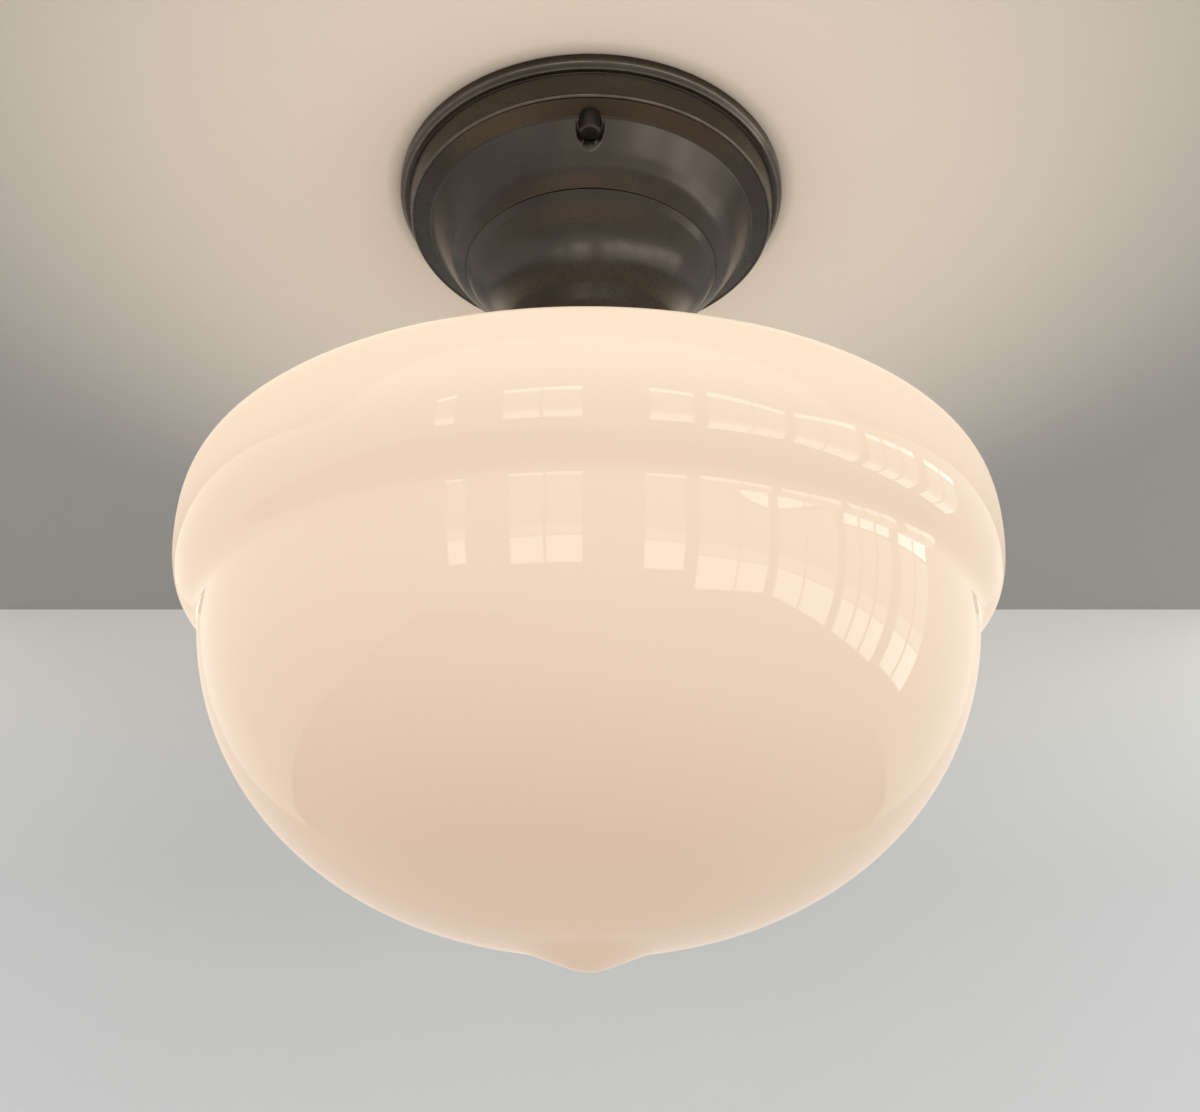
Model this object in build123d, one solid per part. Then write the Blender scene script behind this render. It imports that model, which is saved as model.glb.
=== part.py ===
from build123d import *
import math
import os

# Schoolhouse ceiling light: a stepped bronze canopy, a fitter with a neck and a cup, and an opal globe.
# Millimetres, +Z up. The origin is on the ceiling surface, on the light's vertical axis.

# Canopy: spun steel pan, rim against the ceiling
CANOPY_R = 83.3
SHEET = 1.2
RIM_H = 3.6
RIM_BEVEL_W = 1.8
RIM_BEVEL_H = 2.0
RIM_LEDGE = 1.9
RIM_ROUND = 1.4
LIP_DRAFT = 2.2
LIP_H = 9.4
LIP_BEAD_R = 0.9
SEAT_W = 7.9
SEAT_DROP = 2.8
SEAT_ROUND = 1.0
BELL_H = 23.6
BELL_ROOT_ROUND = 2.0
BELL_DRAFT = 6.0
BELL_BREAK_H = 10.8
BELL_BREAK_ROUND = 60.0
BELL_TURN = 3.9
BELL_TURN_H = 5.5
BELL_TURN_ROUND = 14.0
PAN_SLOPE = 7.6
PAN_ROUND = 5.0

# Crossbar, studs and cap nuts
STRAP_W = 16.0
STRAP_T = 1.6
STRAP_END = 6.0
BOX_SPACING = 88.9
SLOT_W = 4.6
SLOT_L = 16.0
STRAP_CENTRE_HOLE_R = 5.0
STUD_INSET = 0.5
STUD_R = 2.08
STUD_PAST_SEAT = 8.5
STUD_TOP_GAP = 0.2
JAM_NUT_AF = 8.7
JAM_NUT_T = 3.2
CAP_NUT_R = 3.97
CAP_NUT_L = 10.6
CAP_NUT_ROOF = 1.2
CAP_NUT_CHAMFER = 0.6
CAP_NUT_ROUND = 0.5
POCKET_GAP = 0.63
GROUND_Y = 20.0
GROUND_SCREW_R = 2.0
GROUND_HEAD_R = 4.3
GROUND_HEAD_H = 2.4
GROUND_WIRE_R = 0.8
GROUND_WIRE_BEND = 8.0
GROUND_WIRE_END = 38.0

# Nipple and its nuts
NIPPLE_R = 4.8
NIPPLE_BORE_R = 3.3
NIPPLE_ABOVE = 6.0
NIPPLE_BELOW = 1.0
LOCKNUT_AF = 14.3
LOCKNUT_T = 3.5
WASHER_R = 8.4
WASHER_T = 1.3

# Fitter: flange, funnel, throat, neck, flare and cup
FLANGE_R = 52.7
FLANGE_T = 3.0
FLANGE_ROUND = 0.8
FLANGE_EDGE_ROUND = 1.5
TOP_PLATE_T = 2.4
PLATE_ROUND = 0.4
FUNNEL_H = 10.1
THROAT_R = 39.2
THROAT_ROUND = 14.0
THROAT_H = 10.4
NECK_R = 36.9
NECK_ROUND = 50.0
NECK_DRAFT = 0.3
NECK_H = 54.4
FLARE_ROUND = 12.0
FLARE_H = 10.0
CUP_WALL = 1.5
CUP_R = 53.2
CUP_ROUND = 8.0
CUP_H = 43.0
CUP_BEAD_R = 1.1
BOSS_R = 4.2
BOSS_PROUD = 4.0

# Thumbscrews
SCREWS = 3
SCREW_FIRST_DEG = 30.0
SCREW_R = 2.08
SCREW_UP = 8.5
SCREW_L = 13.8
SCREW_COLLAR_R = 3.2
SCREW_COLLAR_L = 1.5
SCREW_HEAD_R = 4.9
SCREW_HEAD_L = 6.0
KNURLS = 18
KNURL_R = 0.45
SCREW_LIP_GAP = 0.35
SCREW_TIP_CHAMFER = 0.25

# Globe: opal glass
GLASS = 3.0
GLOBE_R = 150.0
GLOBE_LIP_R = 49.0
GLOBE_LIP_H = 4.5
GLOBE_LIP_PLAY = 0.3
GLOBE_LIP_ROUND = 1.5
GLOBE_LIP_EDGE = 0.4
GLOBE_NECK_R = 46.4
GLOBE_NECK_ROUND = 4.5
GLOBE_UNDER_CUP = 3.6
CAP_FALL = 7.7
SHOULDER_A = 15.6
SHOULDER_B = 24.2
CAP_SKIRT = 31.0
CREASE_ROUND = 8.0
CREASE_TILT = 45.0
BOWL_R = 138.6
BOWL_TILT = 5.0
BOWL_H = 104.6
DISH_H = 45.0
NUB_R = 24.4
NUB_H = 5.7

# Lampholder
BRACKET_W = 14.0
BRACKET_T = 1.5
BRACKET_LEG = 12.0
BRACKET_SCREW_R = 1.5
BRACKET_SCREW_L = 4.0
BRACKET_HEAD_R = 3.0
BRACKET_HEAD_H = 1.8
WIRE_ROOM = 15.0
SOCKET_R = 19.0
SOCKET_H = 48.0
SOCKET_ROOF = 12.5
SOCKET_ROUND = 1.5
SHELL_R = 14.0
SHELL_T = 0.5
SHELL_SHY = 1.5
SHELL_HOLE_R = 6.5
CONTACT_R = 4.5
CONTACT_H = 3.5
TERMINAL_X = 13.0
TERMINAL_SHANK_R = 1.5
TERMINAL_DEPTH = 5.0
TERMINAL_HEAD_R = 3.4
TERMINAL_HEAD_H = 2.0

# Leads and wire connectors
LEAD_R = 1.2
LEAD_X = 1.55
LEAD_RISE = 11.0
LEAD_BEND = 8.0
LEAD_END = 46.0
CONNECTOR_L = 22.0
CONNECTOR_MOUTH_R = 6.2
CONNECTOR_END_R = 3.6
CONNECTOR_GRIP = 12.0
CONNECTOR_BELL_R = 3.2
CONNECTOR_BELL_L = 4.0

# Lamp: A19 envelope on an E26 base
BULB_L = 110.0
BULB_R = 30.0
BULB_GLASS = 0.9
BULB_NECK_R = 12.2
BULB_NECK_L = 8.0
BULB_SWELL_H = 46.0
BASE_R = 13.05
BASE_ROOT_R = 12.55
BASE_PITCH = 3.63
BASE_TURNS = 5
BASE_PLAIN_L = 3.4
BASE_INNER_R = 11.9
TIP_R = 4.6
TIP_H = 1.4
INSULATOR_H = 3.3
STEM_R = 3.4
STEM_L = 30.0
FILAMENT_R = 0.5
SUPPORT_R = 0.5
FILAMENT_SPAN = 18.0
FILAMENT_DROP = 16.0

# Clearances
FIT_GAP = 0.3
SCREW_GAP = 0.4

# Stations worked out from the sizes above
LIP_R = CANOPY_R - RIM_BEVEL_W - RIM_LEDGE
SEAT_R = LIP_R - LIP_DRAFT
BELL_R = SEAT_R - SEAT_W
Z_BEVEL = -RIM_H
Z_LEDGE = Z_BEVEL - RIM_BEVEL_H
Z_SEAT = Z_LEDGE - LIP_H
Z_PAN = Z_SEAT - BELL_H
Z_PAN_IN = Z_PAN + SHEET
Z_BELL = Z_SEAT - SEAT_DROP
Z_BREAK = Z_BELL - BELL_BREAK_H
BREAK_R = BELL_R - BELL_DRAFT
TURN_R = BREAK_R - BELL_TURN
PAN_FLAT_R = TURN_R - PAN_SLOPE
STUD_Y = BELL_R - STUD_INSET
POCKET_R = CAP_NUT_R + POCKET_GAP

Z_PLATE = Z_PAN - TOP_PLATE_T
Z_FUNNEL = Z_PAN - FLANGE_T
Z_THROAT = Z_FUNNEL - FUNNEL_H
Z_NECK = Z_THROAT - THROAT_H
Z_FLARE = Z_PAN - NECK_H
Z_CUP = Z_FLARE - FLARE_H
Z_CUP_END = Z_CUP - CUP_H
CUP_IN_R = CUP_R - CUP_WALL

Z_SCREW = Z_CUP_END + SCREW_UP
SCREW_TIP = GLOBE_LIP_R + SCREW_LIP_GAP
BOSS_END = CUP_R + BOSS_PROUD

Z_LIP_UNDER = Z_SCREW + SCREW_R + GLOBE_LIP_PLAY
Z_LIP_TOP = Z_LIP_UNDER + GLOBE_LIP_H
Z_CAP = Z_CUP_END - GLOBE_UNDER_CUP
Z_NECK_END = Z_CAP + GLOBE_NECK_ROUND
Z_SHOULDER = Z_CAP - CAP_FALL
Z_GIRTH = Z_SHOULDER - SHOULDER_B
Z_CREASE = Z_GIRTH - CAP_SKIRT
Z_BOWL = Z_CREASE - BOWL_H
Z_DISH = Z_BOWL + DISH_H
Z_NUB = Z_BOWL - NUB_H

Z_WASHER = Z_PAN_IN + WASHER_T
Z_UPPER_NUT = Z_WASHER + LOCKNUT_T
Z_NIPPLE_TOP = Z_UPPER_NUT + NIPPLE_ABOVE
Z_LOWER_NUT = Z_PLATE - LOCKNUT_T
Z_BRACKET = Z_LOWER_NUT - BRACKET_T
Z_SOCKET_NUT = Z_BRACKET - LOCKNUT_T
Z_NIPPLE_END = Z_SOCKET_NUT - NIPPLE_BELOW
Z_SOCKET = Z_NIPPLE_END - WIRE_ROOM
Z_SOCKET_END = Z_SOCKET - SOCKET_H
Z_ROOF = Z_SOCKET - SOCKET_ROOF
Z_SHELL_END = Z_SOCKET_END + SHELL_SHY
Z_CONTACT = Z_ROOF - CONTACT_H
Z_TIP = Z_CONTACT - FIT_GAP
Z_INSULATOR = Z_TIP - TIP_H
Z_BASE = Z_INSULATOR - INSULATOR_H
Z_THREAD_END = Z_BASE - BASE_PITCH * BASE_TURNS
Z_BASE_END = Z_THREAD_END - BASE_PLAIN_L
Z_BULB = Z_TIP - BULB_L


def at(point):
    """A point of a turned profile: radius and height, in the XZ plane."""
    return Vector(point[0], 0, point[1])


def rounded(points, radii):
    """Straight runs through the points, with each inner corner rounded by its own radius."""
    edges = []
    start = at(points[0])
    for i in range(1, len(points) - 1):
        corner = at(points[i])
        into = (corner - at(points[i - 1])).normalized()
        out = (at(points[i + 1]) - corner).normalized()
        half = math.radians(into.get_angle(out)) / 2
        radius = radii[i - 1]
        if radius < 1e-6 or half < 1e-6:
            edges.append(Line(start, corner))
            start = corner
            continue
        inward = (out - into).normalized()
        reach = radius * math.tan(half)
        first = corner - into * reach
        last = corner + out * reach
        middle = corner + inward * (radius / math.cos(half) - radius)
        edges.append(Line(start, first))
        edges.append(ThreePointArc(first, middle, last))
        start = last
    edges.append(Line(start, at(points[-1])))
    return edges


def inner_line(points, radii, wall):
    """The other face of a sheet: every run moved to its right by the wall, with matching corner radii."""
    sides = []
    for first, last in zip(points, points[1:]):
        run = math.hypot(last[0] - first[0], last[1] - first[1])
        sides.append(((last[0] - first[0]) / run, (last[1] - first[1]) / run))
    moved = [(points[0][0] + sides[0][1] * wall, points[0][1] - sides[0][0] * wall)]
    fitted = []
    for i in range(1, len(points) - 1):
        a = sides[i - 1]
        b = sides[i]
        turn = a[0] * b[1] - a[1] * b[0]
        share = wall / (1 + a[0] * b[0] + a[1] * b[1])
        moved.append((points[i][0] + (a[1] + b[1]) * share, points[i][1] - (a[0] + b[0]) * share))
        fitted.append(radii[i - 1] + wall if turn > 0 else max(radii[i - 1] - wall, 0))
    moved.append((points[-1][0] + sides[-1][1] * wall, points[-1][1] - sides[-1][0] * wall))
    return moved, fitted


def turned(edges):
    """A solid of revolution about the light's axis from a closed run of edges."""
    return revolve(make_face(Wire(edges)), Axis.Z)


def turned_polygon(points):
    return turned(rounded(list(points) + [points[0]], [0] * (len(points) - 1)))


def ring(outer, inner, top, bottom):
    """A plain tube about the light's axis."""
    return turned_polygon([(inner, top), (outer, top), (outer, bottom), (inner, bottom)])


def rod(radius, start, end):
    """A plain cylinder between two points."""
    axis = Vector(end) - Vector(start)
    plane = Plane(origin=start, z_dir=axis)
    return extrude(plane * Circle(radius), axis.length)


def hex_nut(across, thickness, bore, top, x=0, y=0):
    blank = extrude(RegularPolygon(across / 2, 6, major_radius=False), -thickness)
    return Pos(x, y, top) * (blank - extrude(Circle(bore), -thickness))


def tube(points, bend, radius):
    """A wire along straight runs with tangent arcs. Its bend radii and volume are printed."""
    path = FilletPolyline(*points, radius=bend)
    wire = sweep(Plane(origin=path @ 0, z_dir=path % 0) * Circle(radius), path=path)
    share = wire.volume / (math.pi * radius ** 2 * path.length)
    print("wire bends", bend, "length", round(path.length, 1), "volume share", round(share, 4))
    return wire


parts = {}

# Canopy: rim, lip, sloping seat, bell with a pocket for each cap nut, and flat bottom
pan_line = [
    (CANOPY_R, 0),
    (CANOPY_R, Z_BEVEL),
    (CANOPY_R - RIM_BEVEL_W, Z_LEDGE),
    (LIP_R, Z_LEDGE),
    (SEAT_R, Z_SEAT),
    (BELL_R, Z_BELL),
    (BREAK_R, Z_BREAK),
    (TURN_R, Z_BREAK - BELL_TURN_H),
    (PAN_FLAT_R, Z_PAN),
    (NIPPLE_R + FIT_GAP, Z_PAN),
]
pan_round = [RIM_ROUND, 0, 0, SEAT_ROUND + SHEET, BELL_ROOT_ROUND, BELL_BREAK_ROUND, BELL_TURN_ROUND, PAN_ROUND]
pan_inner, pan_inner_round = inner_line(pan_line, pan_round, SHEET)
pan_face = rounded(pan_line, pan_round)
pan_face.append(Line(at(pan_line[-1]), at(pan_inner[-1])))
pan_face += rounded(pan_inner[::-1], pan_inner_round[::-1])
pan_face.append(Line(at(pan_inner[0]), at(pan_line[0])))
canopy = turned(pan_face)
canopy += Pos(0, 0, Z_SEAT + LIP_BEAD_R / 3) * Torus(SEAT_R - LIP_BEAD_R / 3, LIP_BEAD_R)
filled = turned(rounded(pan_line[:-1] + [(0, Z_PAN), (0, 0), pan_line[0]], pan_round + [0, 0]))
for side in (-1, 1):
    stud_line = [(0, side * STUD_Y, z) for z in (0, Z_SEAT + SHEET, Z_SEAT, Z_PAN)]
    canopy += filled & rod(POCKET_R + SHEET, stud_line[1], stud_line[3])
    canopy -= rod(POCKET_R, stud_line[2], stud_line[3])
    canopy -= rod(STUD_R + SCREW_GAP, stud_line[0], stud_line[3])
parts["canopy"] = canopy

# Crossbar: strap with two slots for the box screws and two tapped ends
strap = Pos(0, 0, -STRAP_T / 2) * Box(STRAP_W, 2 * (STUD_Y + STRAP_END), STRAP_T)
strap = fillet(strap.edges().filter_by(Axis.Z), STRAP_END * 0.8)
strap -= rod(STRAP_CENTRE_HOLE_R, (0, 0, 0), (0, 0, -STRAP_T))
strap -= rod(GROUND_SCREW_R, (0, GROUND_Y, 0), (0, GROUND_Y, -STRAP_T))
for side in (-1, 1):
    strap -= Pos(0, side * BOX_SPACING / 2, 0) * extrude(SlotOverall(SLOT_L, SLOT_W, rotation=90), -STRAP_T)
    strap -= rod(STUD_R, (0, side * STUD_Y, 0), (0, side * STUD_Y, -STRAP_T))
parts["crossbar"] = strap

# Studs with their jam nuts, and the two cap nuts
Z_STUD_END = Z_SEAT - STUD_PAST_SEAT
studs = []
jams = []
for side in (-1, 1):
    studs.append(rod(STUD_R, (0, side * STUD_Y, -STUD_TOP_GAP), (0, side * STUD_Y, Z_STUD_END)).solid())
    jams.append(hex_nut(JAM_NUT_AF, JAM_NUT_T, STUD_R, -STRAP_T, 0, side * STUD_Y).solid())
parts["canopy_studs"] = Compound(studs)
parts["jam_nuts"] = Compound(jams)

for name, side in (("cap_nut_front", -1), ("cap_nut_back", 1)):
    nut = Cylinder(CAP_NUT_R, CAP_NUT_L, align=(Align.CENTER, Align.CENTER, Align.MAX))
    nut = chamfer(nut.edges().group_by(Axis.Z)[-1], CAP_NUT_CHAMFER)
    nut = fillet(nut.edges().group_by(Axis.Z)[0], CAP_NUT_ROUND)
    nut -= rod(STUD_R + SCREW_GAP, (0, 0, 0), (0, 0, CAP_NUT_ROOF - CAP_NUT_L))
    parts[name] = Pos(0, side * STUD_Y, Z_SEAT - FIT_GAP) * nut

# Earth: screw under the strap, with a bare wire under its head
Z_GROUND_HEAD = -STRAP_T - 2 * GROUND_WIRE_R
ground = rod(GROUND_SCREW_R, (0, GROUND_Y, 0), (0, GROUND_Y, Z_GROUND_HEAD))
head = rod(GROUND_HEAD_R, (0, GROUND_Y, Z_GROUND_HEAD), (0, GROUND_Y, Z_GROUND_HEAD - GROUND_HEAD_H))
ground += fillet(head.edges().group_by(Axis.Z)[0], GROUND_HEAD_H / 3)
parts["ground_screw"] = ground

Z_WIRE = Z_NIPPLE_TOP + LEAD_RISE
wire_y = GROUND_Y + GROUND_SCREW_R + GROUND_WIRE_R
wire_z = -STRAP_T - GROUND_WIRE_R
parts["ground_wire"] = tube(
    [(-GROUND_HEAD_R, wire_y, wire_z), (STRAP_W, wire_y, wire_z),
     (STRAP_W + GROUND_WIRE_BEND, wire_y, Z_WIRE), (GROUND_WIRE_END, wire_y, Z_WIRE)],
    GROUND_WIRE_BEND, GROUND_WIRE_R)

# Nipple, washer and locknuts
parts["nipple"] = ring(NIPPLE_R, NIPPLE_BORE_R, Z_NIPPLE_TOP, Z_NIPPLE_END)
parts["lock_washer"] = ring(WASHER_R, NIPPLE_R, Z_WASHER, Z_PAN_IN)
parts["upper_locknut"] = hex_nut(LOCKNUT_AF, LOCKNUT_T, NIPPLE_R, Z_UPPER_NUT)
parts["lower_locknut"] = hex_nut(LOCKNUT_AF, LOCKNUT_T, NIPPLE_R, Z_PLATE)
parts["socket_locknut"] = hex_nut(LOCKNUT_AF, LOCKNUT_T, NIPPLE_R, Z_BRACKET)

# Fitter: flange under the canopy, funnel, throat, neck, flare and cup with three tapped bosses
neck_end_r = NECK_R - NECK_DRAFT
outer = [
    (NIPPLE_R + FIT_GAP, Z_PAN),
    (FLANGE_R, Z_PAN),
    (FLANGE_R, Z_FUNNEL),
    (THROAT_R, Z_THROAT),
    (NECK_R, Z_NECK),
    (neck_end_r, Z_FLARE),
    (CUP_R, Z_CUP),
    (CUP_R, Z_CUP_END),
]
outer_round = [FLANGE_ROUND, FLANGE_EDGE_ROUND, THROAT_ROUND, NECK_ROUND, FLARE_ROUND, CUP_ROUND]
wall_line, wall_round = inner_line(outer[2:], outer_round[2:], CUP_WALL)
funnel_lean = (FLANGE_R - THROAT_R) / FUNNEL_H
wall_line[0] = (wall_line[0][0] + (Z_PLATE - wall_line[0][1]) * funnel_lean, Z_PLATE)
inside = [(NIPPLE_R + FIT_GAP, Z_PLATE)] + wall_line
inside_round = [PLATE_ROUND] + wall_round
fitter_face = rounded(outer, outer_round)
fitter_face.append(Line(at(outer[-1]), at(inside[-1])))
fitter_face += rounded(inside[::-1], inside_round[::-1])
fitter_face.append(Line(at(inside[0]), at(outer[0])))
fitter = turned(fitter_face)
fitter += Pos(0, 0, Z_CUP_END + CUP_BEAD_R) * Torus(CUP_R - CUP_BEAD_R / 3, CUP_BEAD_R)
for i in range(SCREWS):
    turn = Rot(0, 0, SCREW_FIRST_DEG + 360 / SCREWS * i)
    boss = rod(BOSS_R, (CUP_R - CUP_WALL / 2, 0, Z_SCREW), (BOSS_END, 0, Z_SCREW))
    boss = fillet(boss.edges().group_by(Axis.X)[-1], BOSS_R / 6)
    fitter += turn * boss
    fitter -= turn * rod(SCREW_R + SCREW_GAP, (CUP_IN_R - CUP_WALL, 0, Z_SCREW), (BOSS_END, 0, Z_SCREW))
parts["fitter"] = fitter

# Thumbscrews: shank, collar and knurled head, with the tip just clear of the globe's lip
shank_end = SCREW_TIP + SCREW_L
collar_end = shank_end + SCREW_COLLAR_L
head_end = collar_end + SCREW_HEAD_L
shank = rod(SCREW_R, (SCREW_TIP, 0, 0), (shank_end, 0, 0))
shank = chamfer(shank.edges().group_by(Axis.X)[0], SCREW_TIP_CHAMFER)
grip = rod(SCREW_HEAD_R, (collar_end, 0, 0), (head_end, 0, 0))
grip = chamfer(grip.edges().filter_by(GeomType.CIRCLE), SCREW_HEAD_L / 10)
for i in range(KNURLS):
    a = 2 * math.pi * i / KNURLS
    y = SCREW_HEAD_R * math.cos(a)
    z = SCREW_HEAD_R * math.sin(a)
    grip -= rod(KNURL_R, (collar_end, y, z), (head_end, y, z))
screw = shank + rod(SCREW_COLLAR_R, (shank_end, 0, 0), (collar_end, 0, 0)) + grip
for i in range(SCREWS):
    turn = Rot(0, 0, SCREW_FIRST_DEG + 360 / SCREWS * i)
    parts[f"thumbscrew_{i + 1}"] = turn * Pos(0, 0, Z_SCREW) * screw


def crossing(curve, still):
    """How far along a curve a test stops holding, found by halving."""
    low_u, high_u = 0.0, 1.0
    for _ in range(50):
        mid_u = (low_u + high_u) / 2
        if still(curve @ mid_u):
            low_u = mid_u
        else:
            high_u = mid_u
    return low_u


def globe_line(inset):
    """One face of the glass: its shoulder point, the cap's curves from there, the bowl's wall and its dish."""
    girth = GLOBE_R - inset
    top_r = GLOBE_R - SHOULDER_A
    shoulder = (top_r, Z_SHOULDER - inset)
    run = 0.61 * (SHOULDER_A - inset)
    fall = CAP_FALL / (top_r - GLOBE_NECK_R)
    tilt = math.radians(BOWL_TILT)
    lean = math.radians(CREASE_TILT)
    tuck = CREASE_ROUND + inset
    centre_r = BOWL_R + CREASE_ROUND * math.cos(tilt)
    centre_z = Z_CREASE - CREASE_ROUND * math.sin(tilt)
    ledge, middle, foot = (
        (centre_r - tuck * math.cos(a), centre_z + tuck * math.sin(a)) for a in (lean, (lean + tilt) / 2, tilt))
    low = Z_GIRTH - ledge[1]
    deep = Z_BOWL + inset
    drop = 0.574 * (foot[1] - deep)
    cap = [
        Bezier(at(shoulder),
               at((top_r + run, shoulder[1] - run * fall)),
               at((girth, Z_GIRTH + 0.7 * (SHOULDER_B - inset))),
               at((girth, Z_GIRTH))),
        Bezier(at((girth, Z_GIRTH)),
               at((girth, Z_GIRTH - 0.77 * low)),
               at((ledge[0] + 0.23 * low * math.sin(lean), ledge[1] + 0.23 * low * math.cos(lean))),
               at(ledge)),
        ThreePointArc(at(ledge), at(middle), at(foot)),
    ]
    bowl = Bezier(at(foot),
                  at((foot[0] - drop * math.sin(tilt), foot[1] - drop * math.cos(tilt))),
                  at((0.57 * foot[0], deep)),
                  at((0, deep)))
    dish_u = crossing(bowl, lambda point: point.Z > Z_DISH)
    wall = bowl.trim(0, dish_u)
    if inset > 0:
        return shoulder, cap, wall, [bowl.trim(dish_u, 1)]
    nub_u = crossing(bowl, lambda point: point.X > NUB_R)
    join = bowl @ nub_u
    nub = Bezier(join, join + (bowl % nub_u) * (NUB_R * 0.37), at((NUB_R * 0.27, Z_NUB)), at((0, Z_NUB)))
    return shoulder, cap, wall, [bowl.trim(dish_u, nub_u), nub]


# Globe: one glass shell open at the neck, as five rings that meet face to face: lip, neck, cap, bowl and foot
outer_r = GLOBE_NECK_R
inner_r = GLOBE_NECK_R - GLASS
outer_shoulder, outer_cap, outer_wall, outer_dish = globe_line(0)
inner_shoulder, inner_cap, inner_wall, inner_dish = globe_line(GLASS)
parts["globe_lip"] = turned(rounded(
    [(inner_r, Z_LIP_TOP), (GLOBE_LIP_R, Z_LIP_TOP), (GLOBE_LIP_R, Z_LIP_UNDER), (inner_r, Z_LIP_UNDER),
     (inner_r, Z_LIP_TOP)],
    [GLOBE_LIP_ROUND, GLOBE_LIP_EDGE, 0]))
parts["globe_neck"] = ring(outer_r, inner_r, Z_LIP_UNDER, Z_NECK_END)
outer_top = rounded([(outer_r, Z_NECK_END), (outer_r, Z_CAP), outer_shoulder], [GLOBE_NECK_ROUND])
inner_top = rounded([inner_shoulder, (inner_r, Z_CAP - GLASS), (inner_r, Z_NECK_END)], [GLOBE_NECK_ROUND + GLASS])
neck_joint = Line(at((inner_r, Z_NECK_END)), at((outer_r, Z_NECK_END)))
bowl_joint = Line(outer_wall @ 0, inner_wall @ 0)
dish_joint = Line(outer_wall @ 1, inner_wall @ 1)
closing = Line(at((0, Z_NUB)), at((0, Z_BOWL + GLASS)))
parts["globe_cap"] = turned(outer_top + outer_cap + [bowl_joint] + inner_cap + inner_top + [neck_joint])
parts["globe_bowl"] = turned([outer_wall, dish_joint, inner_wall, bowl_joint])
parts["globe_foot"] = turned(outer_dish + [closing] + inner_dish + [dish_joint])

# Bracket: strap bent over the lampholder, clamped on the nipple
leg_in = SOCKET_R
leg_out = leg_in + BRACKET_T
Z_LEG_END = Z_SOCKET - BRACKET_LEG
Z_BRACKET_SCREW = Z_LEG_END + BRACKET_HEAD_R + BRACKET_T
bracket = Pos(0, 0, Z_BRACKET + BRACKET_T / 2) * Box(BRACKET_W, 2 * leg_out, BRACKET_T)
for side in (-1, 1):
    leg_h = Z_LOWER_NUT - Z_LEG_END
    leg_at = Pos(0, side * (leg_in + BRACKET_T / 2), Z_LEG_END + leg_h / 2)
    bracket += leg_at * Box(BRACKET_W, BRACKET_T, leg_h)
bracket -= rod(NIPPLE_R, (0, 0, Z_LOWER_NUT), (0, 0, Z_BRACKET))
bracket_screws = []
socket_depth = leg_in - BRACKET_SCREW_L
for side in (-1, 1):
    inner_end = (0, side * socket_depth, Z_BRACKET_SCREW)
    seat = (0, side * leg_out, Z_BRACKET_SCREW)
    top = (0, side * (leg_out + BRACKET_HEAD_H), Z_BRACKET_SCREW)
    bracket -= rod(BRACKET_SCREW_R, (0, side * leg_in * 0.9, Z_BRACKET_SCREW), top)
    bracket_screws.append((rod(BRACKET_SCREW_R, inner_end, seat) + rod(BRACKET_HEAD_R, seat, top)).solid())
parts["socket_bracket"] = bracket
parts["bracket_screws"] = Compound(bracket_screws)

# Lampholder: porcelain body with a cavity, brass screw shell, sprung contact and two terminals
body = turned(rounded(
    [(0, Z_SOCKET), (SOCKET_R, Z_SOCKET), (SOCKET_R, Z_SOCKET_END), (SHELL_R, Z_SOCKET_END),
     (SHELL_R, Z_ROOF), (0, Z_ROOF), (0, Z_SOCKET)],
    [SOCKET_ROUND, SOCKET_ROUND, 0, 0, 0]))
terminals = []
Z_TERMINAL_HEAD = Z_SOCKET + 2 * LEAD_R
for side in (-1, 1):
    body -= rod(BRACKET_SCREW_R, (0, side * socket_depth, Z_BRACKET_SCREW), (0, side * leg_out, Z_BRACKET_SCREW))
    foot = (side * TERMINAL_X, 0, Z_SOCKET - TERMINAL_DEPTH)
    neck = (side * TERMINAL_X, 0, Z_TERMINAL_HEAD)
    top = (side * TERMINAL_X, 0, Z_TERMINAL_HEAD + TERMINAL_HEAD_H)
    body -= rod(TERMINAL_SHANK_R, foot, neck)
    terminals.append((rod(TERMINAL_SHANK_R, foot, neck) + rod(TERMINAL_HEAD_R, neck, top)).solid())
parts["socket_body"] = body
parts["terminal_screws"] = Compound(terminals)
parts["socket_shell"] = turned_polygon([
    (SHELL_HOLE_R, Z_ROOF), (SHELL_R, Z_ROOF), (SHELL_R, Z_SHELL_END),
    (SHELL_R - SHELL_T, Z_SHELL_END), (SHELL_R - SHELL_T, Z_ROOF - SHELL_T), (SHELL_HOLE_R, Z_ROOF - SHELL_T)])
contact = rod(CONTACT_R, (0, 0, Z_ROOF), (0, 0, Z_CONTACT))
parts["socket_contact"] = fillet(contact.edges().group_by(Axis.Z)[0], CONTACT_H / 4)

# Leads: from the terminals up through the nipple, then out to the wire connectors
Z_LEAD_FOOT = Z_SOCKET + LEAD_R
for name, side in (("lead_hot", 1), ("lead_neutral", -1)):
    parts[name] = tube(
        [(side * (TERMINAL_X - TERMINAL_SHANK_R), 0, Z_LEAD_FOOT), (side * LEAD_X, 0, Z_LEAD_FOOT),
         (side * LEAD_X, 0, Z_WIRE), (side * LEAD_END, 0, Z_WIRE)],
        LEAD_BEND, LEAD_R)

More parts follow.
